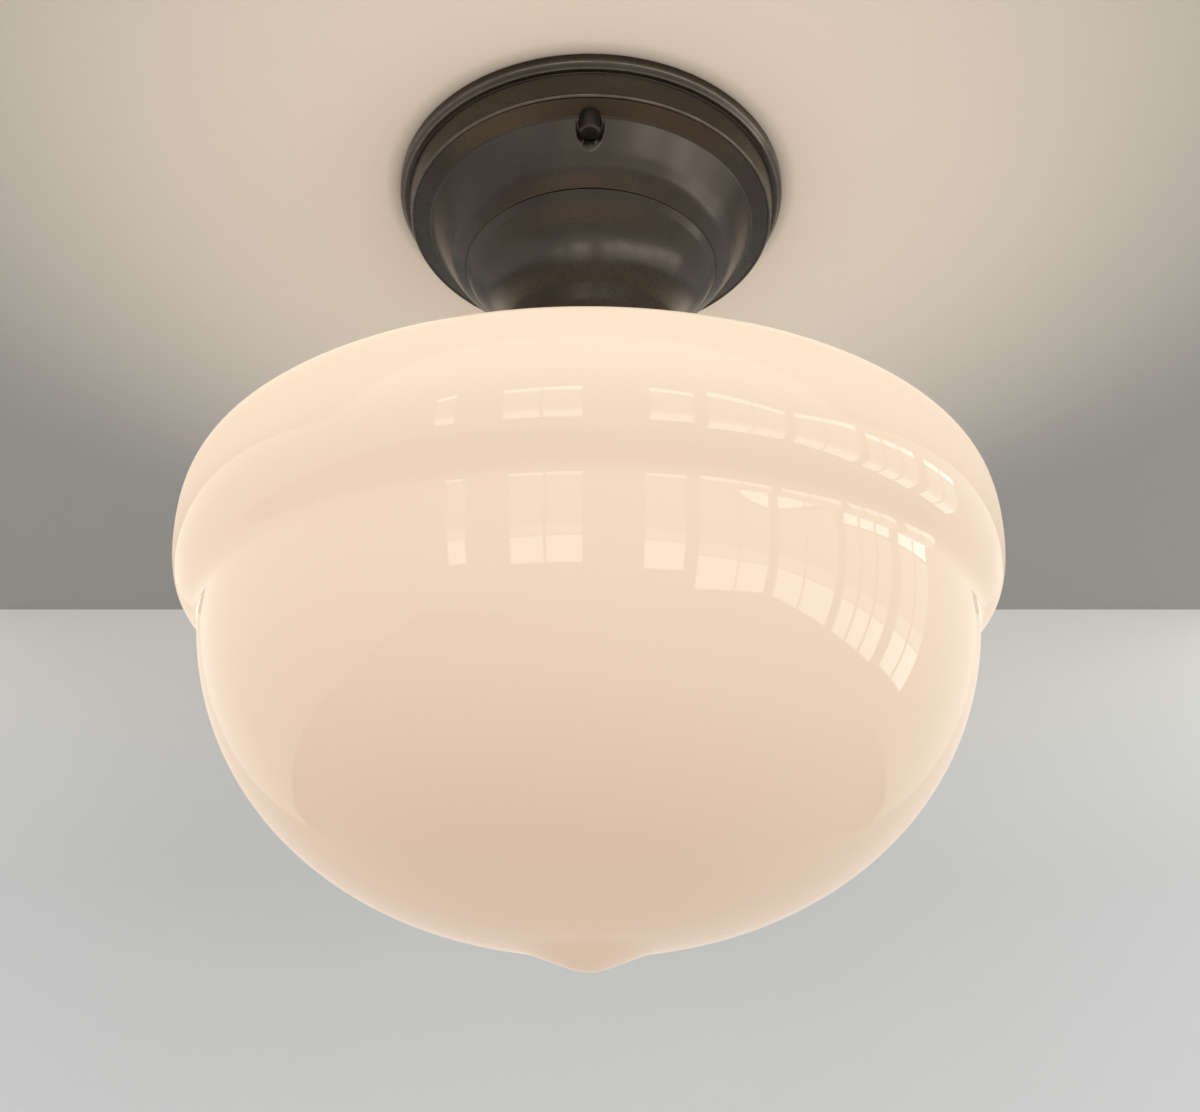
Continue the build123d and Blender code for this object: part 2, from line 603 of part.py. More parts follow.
connectors = []
for end, y, side, wire in (
        (LEAD_END, 0, 1, LEAD_R),
        (LEAD_END, 0, -1, LEAD_R),
        (GROUND_WIRE_END, wire_y, 1, GROUND_WIRE_R)):
    cap = turned(rounded(
        [(wire, CONNECTOR_BELL_L), (CONNECTOR_BELL_R, 0), (CONNECTOR_MOUTH_R, 0), (CONNECTOR_END_R, CONNECTOR_L),
         (0, CONNECTOR_L), (0, CONNECTOR_GRIP), (wire, CONNECTOR_GRIP), (wire, CONNECTOR_BELL_L)],
        [0, 0.6, CONNECTOR_END_R / 3, 0, 0, 0]))
    mouth = Pos(side * (end - CONNECTOR_GRIP), y, Z_WIRE)
    connectors.append((mouth * Rot(0, side * 90, 0) * cap).solid())
parts["wire_connectors"] = Compound(connectors)

# Lamp: base with its thread, insulator and tip, and the glass with its stem and filament
wave = []
steps = 2 * BASE_TURNS
for i in range(steps + 1):
    crest = BASE_R if i % 2 else BASE_ROOT_R
    wave.append(at((crest, Z_BASE - BASE_PITCH * BASE_TURNS * i / steps)))
thread = Spline(*wave)
foot = at((BULB_NECK_R, Z_BASE_END))
base_edges = [
    Line(at((BASE_INNER_R, Z_BASE)), wave[0]),
    thread,
    Line(wave[-1], at((BASE_ROOT_R, Z_BASE_END))),
    Line(at((BASE_ROOT_R, Z_BASE_END)), foot),
    Line(foot, at((BULB_NECK_R, Z_BASE_END + BULB_NECK_L))),
    Line(at((BULB_NECK_R, Z_BASE_END + BULB_NECK_L)), at((BASE_INNER_R, Z_BASE_END + BULB_NECK_L))),
    Line(at((BASE_INNER_R, Z_BASE_END + BULB_NECK_L)), at((BASE_INNER_R, Z_BASE))),
]
parts["bulb_base"] = turned(base_edges)
parts["bulb_insulator"] = turned_polygon(
    [(0, Z_INSULATOR), (TIP_R, Z_INSULATOR), (BASE_INNER_R, Z_BASE), (0, Z_BASE)])
tip = rod(TIP_R, (0, 0, Z_INSULATOR), (0, 0, Z_TIP))
parts["bulb_tip"] = fillet(tip.edges().group_by(Axis.Z)[-1], TIP_H / 2)


def envelope_line(inset):
    """One face of the lamp's glass, from its neck to the axis."""
    neck = BULB_NECK_R - inset
    wide = BULB_R - inset
    z_wide = Z_BULB + BULB_R
    z_swell = z_wide + BULB_SWELL_H
    dome = BULB_R - inset
    return [
        Line(at((neck, Z_BASE_END + BULB_NECK_L)), at((neck, z_swell))),
        Bezier(at((neck, z_swell)), at((neck, z_swell - 0.42 * BULB_SWELL_H)),
               at((wide, z_wide + 0.42 * BULB_SWELL_H)), at((wide, z_wide))),
        ThreePointArc(at((wide, z_wide)), at((dome * math.sqrt(0.5), z_wide - dome * math.sqrt(0.5))),
                      at((0, z_wide - dome))),
    ]


envelope = envelope_line(0)
lining = envelope_line(BULB_GLASS)
neck_top = Z_BASE_END + BULB_NECK_L
envelope.append(Line(at((0, Z_BULB)), at((0, Z_BULB + BULB_GLASS))))
envelope += lining
envelope.append(Line(at((BULB_NECK_R - BULB_GLASS, neck_top)), at((BULB_NECK_R, neck_top))))
parts["bulb_envelope"] = turned(envelope)

bulb_in = BULB_NECK_R - BULB_GLASS
Z_STEM_END = neck_top - STEM_L
parts["bulb_stem"] = turned(rounded(
    [(0, neck_top), (bulb_in, neck_top), (STEM_R, neck_top - bulb_in), (STEM_R, Z_STEM_END), (0, Z_STEM_END),
     (0, neck_top)],
    [0, STEM_R, STEM_R / 3, 0]))
half_span = FILAMENT_SPAN / 2
Z_FILAMENT = Z_STEM_END - FILAMENT_DROP
support = STEM_R / 2
filament = rod(FILAMENT_R, (-half_span, 0, Z_FILAMENT), (half_span, 0, Z_FILAMENT))
lean = math.atan2(half_span - support, FILAMENT_DROP)
Z_SUPPORT = Z_STEM_END - SUPPORT_R * math.sin(lean)
for side in (-1, 1):
    filament += rod(SUPPORT_R, (side * support, 0, Z_SUPPORT), (side * half_span, 0, Z_FILAMENT))
    filament += Pos(side * half_span, 0, Z_FILAMENT) * Sphere(FILAMENT_R)
parts["bulb_filament"] = filament

os.makedirs("parts", exist_ok=True)
for name, part in parts.items():
    export_step(part, f"parts/{name}.step")
print(len(parts), "parts")
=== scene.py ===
import math

import bmesh
import bpy
import numpy as np
from bpy.props import FloatProperty, FloatVectorProperty, IntProperty, PointerProperty
from bpy.types import Operator, Panel, PropertyGroup
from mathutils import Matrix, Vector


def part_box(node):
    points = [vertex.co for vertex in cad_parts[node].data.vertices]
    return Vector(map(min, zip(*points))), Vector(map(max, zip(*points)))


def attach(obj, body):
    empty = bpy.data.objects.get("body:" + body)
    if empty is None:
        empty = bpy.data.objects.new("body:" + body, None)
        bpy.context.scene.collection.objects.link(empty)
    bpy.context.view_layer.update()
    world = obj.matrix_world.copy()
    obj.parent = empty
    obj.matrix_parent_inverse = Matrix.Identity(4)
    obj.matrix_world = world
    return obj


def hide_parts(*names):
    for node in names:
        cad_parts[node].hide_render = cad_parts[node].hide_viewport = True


bl_info = {
    "name": "Schoolhouse Ceiling Light",
    "version": (1, 0, 0),
    "blender": (4, 5, 0),
    "location": "3D View > Sidebar > Light",
    "description": "Dresses a ceiling light with glass, bronze and hardware, and sets its stage",
    "category": "Add Mesh",
}

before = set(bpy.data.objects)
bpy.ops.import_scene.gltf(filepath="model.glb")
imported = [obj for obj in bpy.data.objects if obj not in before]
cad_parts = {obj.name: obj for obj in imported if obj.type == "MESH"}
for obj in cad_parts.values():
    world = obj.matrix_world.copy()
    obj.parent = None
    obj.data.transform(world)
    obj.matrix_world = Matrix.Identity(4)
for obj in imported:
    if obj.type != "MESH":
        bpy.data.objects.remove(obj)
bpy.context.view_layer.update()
GLOBE_NODES = sorted(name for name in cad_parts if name.startswith("globe"))

# Metres, +Z up, origin on the ceiling. Places come from the frame's boxes where a box gives them.
MM = 0.001
RIM_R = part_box("canopy")[1].x
Z_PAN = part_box("canopy")[0].z
Z_CUP_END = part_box("fitter")[0].z
GLOBE_TOP = max(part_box(name)[1].z for name in GLOBE_NODES)
GLOBE_FOOT = min(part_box(name)[0].z for name in GLOBE_NODES)
GIRTH_R = max(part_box(name)[1].x for name in GLOBE_NODES)
NIPPLE_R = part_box("nipple")[1].x
BORE_R = NIPPLE_R + 0.3 * MM
SCREW_BORE = 2.48 * MM

# How close the points that keep a run straight stand to an arc, the least rounding, the distance within
# which points are merged, and the rows of points in one turn of a thread.
HOLD = 0.12 * MM
EDGE = 0.25 * MM
MERGE = 0.001 * MM
THREAD_ROWS = 9

# Handles of the glass's cubic curves, as shares of the runs that they round.
SHOULDER_TOP, SHOULDER_SIDE = 0.61, 0.7
SKIRT_SIDE, SKIRT_LEDGE = 0.77, 0.23
BOWL_SIDE, BOWL_FOOT = 0.574, 0.57
NUB_SIDE, NUB_TIP = 0.37, 0.27

# A window's lit bands: start and end as shares of its height, and the band's share of the pane's radiance.
WINDOW_BANDS = ((0.0, 0.3, 1.2), (0.31, 0.42, 0.6), (0.42, 0.9, 0.3), (0.92, 1.0, 1.5))

# Windows: left, right, low and high in metres, and the number of panes side by side.
FRONT_WINDOWS = (
    (-2.20, -1.80, -0.68, 0.98, 1),
    (-1.09, -0.05, -0.76, 0.84, 2),
    (0.75, 1.40, -0.86, 0.88, 1),
    (1.60, 3.30, -1.22, 1.06, 2),
)
SIDE_WINDOWS = (
    (-2.52, -1.21, -1.10, 0.96, 2),
    (-1.09, -0.16, -1.10, 0.81, 3),
    (0.0, 0.69, -1.02, 0.79, 2),
)


def length(name, description, default):
    return FloatProperty(
        name=name, description=description, default=default, min=0.0, unit="LENGTH", precision=5)


def angle(name, description, default):
    return FloatProperty(
        name=name, description=description, default=default, subtype="ANGLE", unit="ROTATION")


def tint(name, description, default):
    return FloatVectorProperty(
        name=name, description=description, default=default, size=3, min=0.0, max=1.0, subtype="COLOR")


class CanopySizes(PropertyGroup):
    sheet: length("Sheet", "Thickness of the spun steel", 1.2 * MM)
    rim_h: length("Rim height", "Height of the rim's upright band", 3.6 * MM)
    bevel_w: length("Bevel width", "Inward run of the rim's bevel", 1.8 * MM)
    bevel_h: length("Bevel height", "Drop of the rim's bevel", 2.0 * MM)
    ledge: length("Ledge", "Flat step between the rim and the lip", 1.9 * MM)
    lip_draft: length("Lip draft", "How far the lip leans in over its height", 2.2 * MM)
    lip_h: length("Lip height", "Height of the lip under the ledge", 9.4 * MM)
    bead_r: length("Bead radius", "Radius of the rolled bead at the lip's edge", 0.9 * MM)
    seat_w: length("Seat width", "Inward run of the sloping ring inside the bead", 7.9 * MM)
    seat_drop: length("Seat drop", "How far the ring inside the bead slopes down", 2.8 * MM)
    bell_draft: length("Bell draft", "How far the bell's upper part leans in", 6.7 * MM)
    bell_break: length("Bell break", "Height of the bell's upper part", 10.8 * MM)
    bell_turn: length("Bell turn", "Inward run of the bell's middle part", 3.8 * MM)
    bell_turn_h: length("Bell turn height", "Height of the bell's middle part", 5.5 * MM)
    pan_slope: length("Pan slope", "Inward run of the slope down to the flat", 5.5 * MM)
    pocket_r: length("Pocket radius", "Radius of the pocket round each cap nut", 4.6 * MM)
    pocket_flare: length("Pocket flare", "How much tighter the pocket is at its roof", 0.48 * MM)
    stud_hole: length("Stud hole", "Radius of the hole for each stud", SCREW_BORE)


class FitterSizes(PropertyGroup):
    flange_r: length("Flange radius", "Radius of the flange under the canopy", 53.5 * MM)
    flange_draft: length("Flange draft", "How far the flange's edge leans in", 2.6 * MM)
    flange_t: length("Flange thickness", "Thickness of the flange's edge", 3.0 * MM)
    plate_t: length("Top plate", "Thickness of the plate that the nipple clamps", 2.4 * MM)
    funnel_h: length("Funnel height", "Drop from the flange to where funnel and neck would meet", 12.6 * MM)
    throat_round: length("Throat round", "Radius of the bend from funnel to neck", 27.0 * MM)
    neck_r: length("Neck radius", "Radius of the neck at its top", 36.9 * MM)
    neck_h: length("Neck height", "Drop from the canopy to the end of the upright neck", 31.5 * MM)
    waist_r: length("Waist radius", "Radius where the neck is narrowest", 34.6 * MM)
    waist_h: length("Waist height", "Drop from the upright neck to the waist", 13.0 * MM)
    flare_h: length("Flare height", "Height of the flare between waist and cup", 19.9 * MM)
    cup_r: length("Cup radius", "Outer radius of the cup", 53.2 * MM)
    cup_wall: length("Cup wall", "Wall of the casting", 1.5 * MM)
    bead_r: length("Bead radius", "Radius of the bead at the cup's mouth", 1.1 * MM)
    boss_r: length("Boss radius", "Radius of the bosses for the thumbscrews", 4.2 * MM)
    boss_out: length("Boss height", "How far the bosses stand out of the cup", 4.0 * MM)


class GlobeSizes(PropertyGroup):
    glass: length("Glass", "Thickness of the opal glass", 3.0 * MM)
    lip_r: length("Lip radius", "Radius of the lip that the thumbscrews hold", 49.0 * MM)
    lip_h: length("Lip height", "Height of the lip", 4.5 * MM)
    neck_r: length("Neck radius", "Outer radius of the neck under the lip", 46.4 * MM)
    under_cup: length("Gap under the cup", "Drop from the cup's mouth to the cap", 3.6 * MM)
    cap_fall: length("Cap fall", "How far the cap's top falls to its shoulder", 7.7 * MM)
    shoulder_a: length("Shoulder run", "Inward reach of the shoulder's curve", 15.6 * MM)
    shoulder_b: length("Shoulder drop", "Height of the shoulder's curve", 24.2 * MM)
    skirt: length("Skirt", "Height of the skirt under the girth", 31.0 * MM)
    crease: length("Crease radius", "Radius of the hollow between cap and bowl", 8.0 * MM)
    crease_tilt: angle("Crease tilt", "Angle at which the skirt runs into the hollow", math.radians(45))
    bowl_r: length("Bowl radius", "Outer radius of the bowl at the crease", 138.6 * MM)
    bowl_tilt: angle("Bowl tilt", "Angle at which the bowl leaves the hollow", math.radians(5))
    nub_r: length("Nub radius", "Radius of the pointed nub", 24.4 * MM)
    nub_h: length("Nub height", "How far the nub stands under the bowl", 5.7 * MM)
    ripple: length("Ripple", "Depth of the slow waves that blowing leaves in the glass", 0.12 * MM)


class HardwareSizes(PropertyGroup):
    screw_pitch: length("Screw pitch", "Pitch of the studs and thumbscrews", 0.794 * MM)
    screw_depth: length("Screw thread depth", "Depth of the thread on studs and thumbscrews", 0.42 * MM)
    pipe_pitch: length("Pipe pitch", "Pitch of the nipple's thread", 0.94 * MM)
    pipe_depth: length("Pipe thread depth", "Depth of the nipple's thread", 0.5 * MM)
    lamp_pitch: length("Lamp thread pitch", "Pitch of the lamp's base and its shell", 3.63 * MM)
    knurls: IntProperty(name="Knurls", description="Flutes round a thumbscrew's head", default=18, min=6)
    knurl_r: length("Knurl radius", "Radius of each flute", 0.45 * MM)
    ribs: IntProperty(name="Connector ribs", description="Ribs round a wire connector", default=14, min=4)


class Finishes(PropertyGroup):
    bronze_dark: tint("Bronze, dark", "Dark side of the mottled bronze", (0.058, 0.049, 0.041))
    bronze_light: tint("Bronze, light", "Light side of the mottled bronze", (0.074, 0.063, 0.053))
    # Paler bronze along edges: partly rubbed wear, partly a painted highlight.
    bronze_edge_wear_and_highlight: tint("Bronze, worn edge", "Bronze where edges are rubbed", (0.190, 0.168, 0.142))
    opal: tint("Opal", "Colour of the opal glass", (0.36, 0.32, 0.265))
    glow_top: tint("Glow, top", "Light through the top of the cap, close over the lamp", (0.86, 0.67, 0.50))
    glow_cap: tint("Glow, cap", "Light through the side of the cap", (0.69, 0.52, 0.385))
    glow_bowl: tint("Glow, bowl", "Light through the glass at the bowl's top", (0.56, 0.40, 0.275))
    glow_foot: tint("Glow, foot", "Light through the glass at the bowl's foot", (0.40, 0.255, 0.165))
    zinc: tint("Zinc", "Zinc plating on the crossbar and nuts", (0.56, 0.57, 0.56))
    green: tint("Earth green", "Dyed finish of the earth screw", (0.03, 0.20, 0.07))
    copper: tint("Copper", "Bare earth wire", (0.72, 0.34, 0.20))
    black_wire: tint("Black insulation", "Insulation of the hot lead", (0.022, 0.022, 0.024))
    white_wire: tint("White insulation", "Insulation of the neutral lead", (0.66, 0.64, 0.59))
    connector: tint("Connector", "Moulded wire connectors", (0.62, 0.15, 0.02))
    porcelain: tint("Porcelain", "Glazed body of the lampholder", (0.76, 0.74, 0.69))
    brass: tint("Brass", "Screw shell, contact and terminals", (0.66, 0.46, 0.19))
    nickel: tint("Nickel", "Plated base of the lamp", (0.62, 0.59, 0.53))
    frost: tint("Frosted lamp", "Frosted envelope of the lamp", (0.36, 0.34, 0.30))


class StageLook(PropertyGroup):
    # The ceiling's two colours paint light: a pale warm pool of lamplight round the light, fading to grey
    # away from it.
    ceiling: tint("Ceiling", "Colour of the ceiling board round the light", (0.95, 0.87, 0.77))
    ceiling_far: tint("Ceiling, far", "Colour of the ceiling board away from the light", (0.41, 0.41, 0.40))
    wall: tint("Wall", "Colour of the wall under the ceiling", (0.84, 0.85, 0.84))
    wall_low: tint("Wall, low", "Colour of the wall further down", (0.665, 0.695, 0.72))
    floor: tint("Floor", "Colour of the floor under the light", (0.70, 0.69, 0.67))
    floor_far: tint("Floor, far", "Colour of the floor under the windows", (0.56, 0.55, 0.535))
    pane: FloatProperty(name="Pane", description="Radiance of the window lights", default=2.0, min=0.0)
    air: FloatProperty(name="Air", description="Even light from all round", default=0.87, min=0.0)


GROUPS = {
    "light_canopy": CanopySizes,
    "light_fitter": FitterSizes,
    "light_globe": GlobeSizes,
    "light_hardware": HardwareSizes,
    "light_finishes": Finishes,
    "light_stage": StageLook,
}


def rounded_line(points, rounds, steps=9):
    """A profile of straight runs whose inner corners are arcs, each tangent to its two runs.

    A corner that turns by t gets an arc of radius r that starts r tan(t/2) before it. One more point
    stands close to each end of an arc, on the run, so that smooth shading leaves the run straight.
    """
    points = np.asarray(points, float)
    runs = np.diff(points, axis=0)
    spans = np.linalg.norm(runs, axis=1)
    ways = runs / spans[:, None]
    turns = np.arctan2(
        ways[:-1, 0] * ways[1:, 1] - ways[:-1, 1] * ways[1:, 0], (ways[:-1] * ways[1:]).sum(axis=1))
    reach = np.asarray(rounds, float) * np.tan(np.abs(turns) / 2)
    left = spans - np.append(reach, 0) - np.append(0, reach)
    hold = np.minimum(HOLD, np.maximum(left, 0) / 4)
    line = [points[:1]]
    for i, turn in enumerate(turns):
        into, out = ways[i], ways[i + 1]
        arm = np.array([into[1], -into[0]]) * np.sign(turn) * rounds[i]
        first = points[i + 1] - into * reach[i]
        sweep = np.linspace(0, turn, steps)[:, None]
        cross = np.array([-arm[1], arm[0]])
        arc = first - arm + arm * np.cos(sweep) + cross * np.sin(sweep)
        line += [arc[:1] - into * hold[i], arc, arc[-1:] + out * hold[i + 1]]
    line.append(points[-1:])
    return np.vstack(line)


def offset_line(points, rounds, wall):
    """The other face of a sheet: each run moved to its right by the wall, with matching corner radii."""
    points = np.asarray(points, float)
    runs = np.diff(points, axis=0)
    ways = runs / np.linalg.norm(runs, axis=1)[:, None]
    sides = np.stack((ways[:, 1], -ways[:, 0]), axis=1)
    turns = ways[:-1, 0] * ways[1:, 1] - ways[:-1, 1] * ways[1:, 0]
    lean = wall / (1 + (ways[:-1] * ways[1:]).sum(axis=1))
    corners = points[1:-1] + (sides[:-1] + sides[1:]) * lean[:, None]
    moved = np.vstack((points[:1] + sides[:1] * wall, corners, points[-1:] + sides[-1:] * wall))
    rounds = np.asarray(rounds, float)
    return moved, np.where(turns > 0, rounds + wall, np.maximum(rounds - wall, EDGE))


def arc(centre, radius, first, last, steps=12):
    """Points at even angles on a circle: centre + radius (cos a, sin a)."""
    angle = np.linspace(first, last, steps)
    return np.asarray(centre) + radius * np.stack((np.cos(angle), np.sin(angle)), axis=1)


def bezier(a, b, c, d, steps):
    """A cubic curve: the four points weighed by (1-u)^3, 3(1-u)^2 u, 3(1-u) u^2 and u^3."""
    u = np.linspace(0, 1, steps)[:, None]
    a, b, c, d = (np.asarray(p, float) for p in (a, b, c, d))
    return (1 - u) ** 3 * a + 3 * (1 - u) ** 2 * u * b + 3 * (1 - u) * u ** 2 * c + u ** 3 * d


def turned(profile, segments, relief=None):
    """A profile turned about Z: (r cos t, r sin t, z), where relief(r, t, z) may change r first."""
    t = np.linspace(0, 2 * np.pi, segments + 1)[None, :]
    r = np.repeat(profile[:, :1], segments + 1, axis=1)
    z = np.repeat(profile[:, 1:2], segments + 1, axis=1)
    if relief is not None:
        r = relief(r, t, z)
    return np.stack((r * np.cos(t), r * np.sin(t), z), axis=2)


def placed(points, origin, axis):
    """Points made about Z, carried to an origin with their Z along an axis."""
    w = np.asarray(axis, float)
    u = np.cross((0, 0, 1) if abs(w[2]) < 0.9 else (1, 0, 0), w)
    u = u / np.linalg.norm(u)
    return np.asarray(origin) + points @ np.stack((u, np.cross(w, u), w))


def upright(radius, heights):
    """Profile points of one radius, one for each height."""
    return np.stack((np.full(len(heights), radius), heights), axis=1)


def faded(z, low, run_in, high, run_out):
    """A weight of z: it rises from 0 at low to 1 over run_in, and falls to 0 at high over run_out."""
    return np.clip((z - low) / run_in, 0, 1) * np.clip((high - z) / run_out, 0, 1)


def screw_ways():
    """The outward directions of the three thumbscrews: 30 degrees from X, then every 120."""
    turns = np.radians(30 + 120 * np.arange(3))
    return np.stack((np.cos(turns), np.sin(turns), np.zeros(3)), axis=1)


def thread_wave(z, t, pitch, flat):
    """A right-hand thread: a trapezoid wave of z / pitch - t / turn, from 0 at the root to 1."""
    phase = z / pitch - t / (2 * np.pi)
    slope = 2 * np.abs(phase - np.floor(phase) - 0.5)
    return np.clip((slope - flat) / (1 - 2 * flat), 0, 1)


def threaded_rod(radius, depth, pitch, low, high, segments=40):
    """A threaded rod about Z: its radius falls by the depth between crests, and all round at its ends."""
    side = upright(radius, np.arange(low, high, pitch / THREAD_ROWS))
    taper = 0.6 * pitch
    profile = np.vstack(([0, low], side, [radius, high], [0, high]))

    def relief(r, t, z):
        end = np.clip(np.minimum(z - low, high - z) / taper, 0, 1)
        return np.where(r > 0, radius - depth * (1 - end * thread_wave(z, t, pitch, 0.12)), 0)

    return turned(profile, segments, relief)


def hex_nut(across, thickness, bore, top, y=0.0, segments=72):
    """A hexagon nut: r = (across / 2) / cos(t from a flat's middle), cut by a cone at each face."""
    washer = 0.94 * across / 2
    rise = np.linspace(0, 0.14 * across / 2, 6)
    low = top - thickness
    side = upright(across, np.concatenate((low + rise, top - rise[::-1])))
    profile = np.vstack(([bore, low], side, [bore, top], [bore, low]))

    def relief(r, t, z):
        flat = across / 2 / np.cos(np.mod(t, np.pi / 3) - np.pi / 6)
        cone = washer + math.sqrt(3) * np.minimum(z - low, top - z)
        return np.where(r > bore, np.minimum(flat, cone), r)

    return turned(profile, segments, relief) + np.array((0.0, y, 0.0))


def grid_quads(grid, start=0):
    """The corners of a grid's quads, as point numbers that count on from start."""
    rows, columns = grid.shape[:2]
    index = start + np.arange(rows * columns).reshape(rows, columns)
    corners = (index[:-1, :-1], index[1:, :-1], index[1:, 1:], index[:-1, 1:])
    return np.stack(corners, axis=2).reshape(-1, 4)


def grids_to_mesh(name, grids):
    """One mesh of quads from grids of points, with seams and poles merged and its faces turned outwards."""
    points = np.concatenate([grid.reshape(-1, 3) for grid in grids])
    starts = np.cumsum([0] + [grid.shape[0] * grid.shape[1] for grid in grids])
    quads = np.concatenate([grid_quads(grid, start) for grid, start in zip(grids, starts)])
    mesh = bpy.data.meshes.new(name)
    mesh.vertices.add(len(points))
    mesh.vertices.foreach_set("co", points.astype(np.float32).ravel())
    mesh.loops.add(quads.size)
    mesh.loops.foreach_set("vertex_index", quads.astype(np.int32).ravel())
    mesh.polygons.add(len(quads))
    mesh.polygons.foreach_set("loop_start", np.arange(0, quads.size, 4, dtype=np.int32))
    mesh.update(calc_edges=True)
    close_mesh(mesh)
    return mesh


def close_mesh(mesh):
    """Merges doubled points and turns the faces outwards."""
    work = bmesh.new()
    work.from_mesh(mesh)
    bmesh.ops.remove_doubles(work, verts=work.verts, dist=MERGE)
    bmesh.ops.dissolve_degenerate(work, edges=work.edges, dist=MERGE / 10)
    bmesh.ops.recalc_face_normals(work, faces=work.faces)
    work.to_mesh(mesh)
    work.free()


def carved(mesh, tool, operation="DIFFERENCE"):
    """The mesh with a tool's volume taken away, added or kept alone, by an exact boolean."""
    body = bpy.data.objects.new("carved_body", mesh)
    cutter = bpy.data.objects.new("carving_tool", tool)
    for item in (body, cutter):
        bpy.context.scene.collection.objects.link(item)
    cut = body.modifiers.new("carving", "BOOLEAN")
    cut.operation = operation
    cut.solver = "EXACT"
    cut.object = cutter
    made = bpy.data.meshes.new_from_object(body.evaluated_get(bpy.context.evaluated_depsgraph_get()))
    for item in (body, cutter):
        bpy.data.objects.remove(item)
    return made


def joined(mesh, *others):
    """One mesh with the faces of several."""
    work = bmesh.new()
    for part in (mesh, *others):
        work.from_mesh(part)
    work.to_mesh(mesh)
    work.free()
    return mesh


def piece(name, mesh, body, material, nodes, sharp=32.0):
    """A finished piece: smooth but for its sharp edges, riding on its body in place of its CAD nodes."""
    mesh.shade_smooth()
    mesh.set_sharp_from_angle(angle=math.radians(sharp))
    mesh.materials.clear()
    mesh.materials.append(material)
    made = bpy.data.objects.new(name, mesh)
    bpy.context.scene.collection.objects.link(made)
    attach(made, body)
    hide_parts(*nodes)


def dress(node, material):
    """A better material on a CAD node whose shape stays."""
    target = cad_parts[node]
    if not target.material_slots:
        target.data.materials.append(material)
    for slot in target.material_slots:
        slot.material = material


class Reading:
    """A shader socket used as a number: each operator adds the Math node that it stands for."""

    def __init__(self, paint, socket):
        self.paint = paint
        self.socket = socket

    def output(self, name):
        return Reading(self.paint, self.socket.node.outputs[name])

    def math(self, operation, first, second=0.0):
        return self.paint.node("ShaderNodeMath", {"operation": operation}, {0: first, 1: second})

    def __add__(self, other):
        return self.math("ADD", self, other)

    def __radd__(self, other):
        return self.math("ADD", other, self)

    def __sub__(self, other):
        return self.math("SUBTRACT", self, other)

    def __rsub__(self, other):
        return self.math("SUBTRACT", other, self)

    def __mul__(self, other):
        return self.math("MULTIPLY", self, other)

    def __rmul__(self, other):
        return self.math("MULTIPLY", other, self)

    def __truediv__(self, other):
        return self.math("DIVIDE", self, other)

    def __pow__(self, other):
        return self.math("POWER", self, other)


class Paint:
    """One node tree, a material's or the world's, and the kinds of node that the finishes are made of."""

    def __init__(self, tree):
        self.tree = tree
        tree.nodes.clear()

    def node(self, kind, settings=None, inputs=None, output=0):
        """Adds a node: its settings first, then a value or a link for each named or numbered socket."""
        made = self.tree.nodes.new(kind)
        for name, value in (settings or {}).items():
            setattr(made, name, value)
        for name, value in (inputs or {}).items():
            if isinstance(value, Reading):
                self.tree.links.new(value.socket, made.inputs[name])
            else:
                made.inputs[name].default_value = value
        return Reading(self, made.outputs[output] if made.outputs else None)

    def place(self, stretch=(1.0, 1.0, 1.0)):
        """Object coordinates, stretched along the axes."""
        here = self.node("ShaderNodeTexCoord", output="Object")
        return self.node("ShaderNodeMapping", None, {"Vector": here, "Scale": stretch})

    def axes(self):
        """X, Y and Z in metres."""
        here = self.node("ShaderNodeTexCoord", output="Object")
        split = self.node("ShaderNodeSeparateXYZ", None, {0: here})
        return split, split.output("Y"), split.output("Z")

    def radius(self):
        """Distance from the light's axis, and Z."""
        x, y, z = self.axes()
        return (x * x + y * y) ** 0.5, z

    def noise(self, scale, detail=3.0, roughness=0.5, stretch=(1.0, 1.0, 1.0)):
        """A cloudy value about 0.5."""
        return self.node("ShaderNodeTexNoise", None, {
            "Vector": self.place(stretch), "Scale": scale, "Detail": detail, "Roughness": roughness})

    def ramp(self, value, low, high, start=0.0, end=1.0):
        """A smooth step from start to end while the value goes from low to high."""
        return self.node("ShaderNodeMapRange", {"interpolation_type": "SMOOTHSTEP"}, {
            "Value": value, "From Min": low, "From Max": high, "To Min": start, "To Max": end})

    def mix(self, factor, first, second):
        """A colour between two, each a tint or a link."""
        first, second = (c if isinstance(c, Reading) else (*c, 1.0) for c in (first, second))
        return self.node("ShaderNodeMix", {"data_type": "RGBA"}, {0: factor, 6: first, 7: second}, output=2)

    def bump(self, height, distance, strength=1.0):
        """A normal from a height that moves the surface by the distance."""
        inputs = {"Height": height, "Distance": distance, "Strength": strength}
        return self.node("ShaderNodeBump", None, inputs, output="Normal")

    def principled(self, **sockets):
        """The shader and its output. Names use _ for a space."""
        inputs = {name.replace("_", " "): value for name, value in sockets.items()}
        self.finish(self.node("ShaderNodeBsdfPrincipled", None, inputs))

    def finish(self, shader, kind="ShaderNodeOutputMaterial"):
        self.node(kind, None, {"Surface": shader})


def material(name):
    made = bpy.data.materials.new(name)
    made.use_nodes = True
    return made, Paint(made.node_tree)


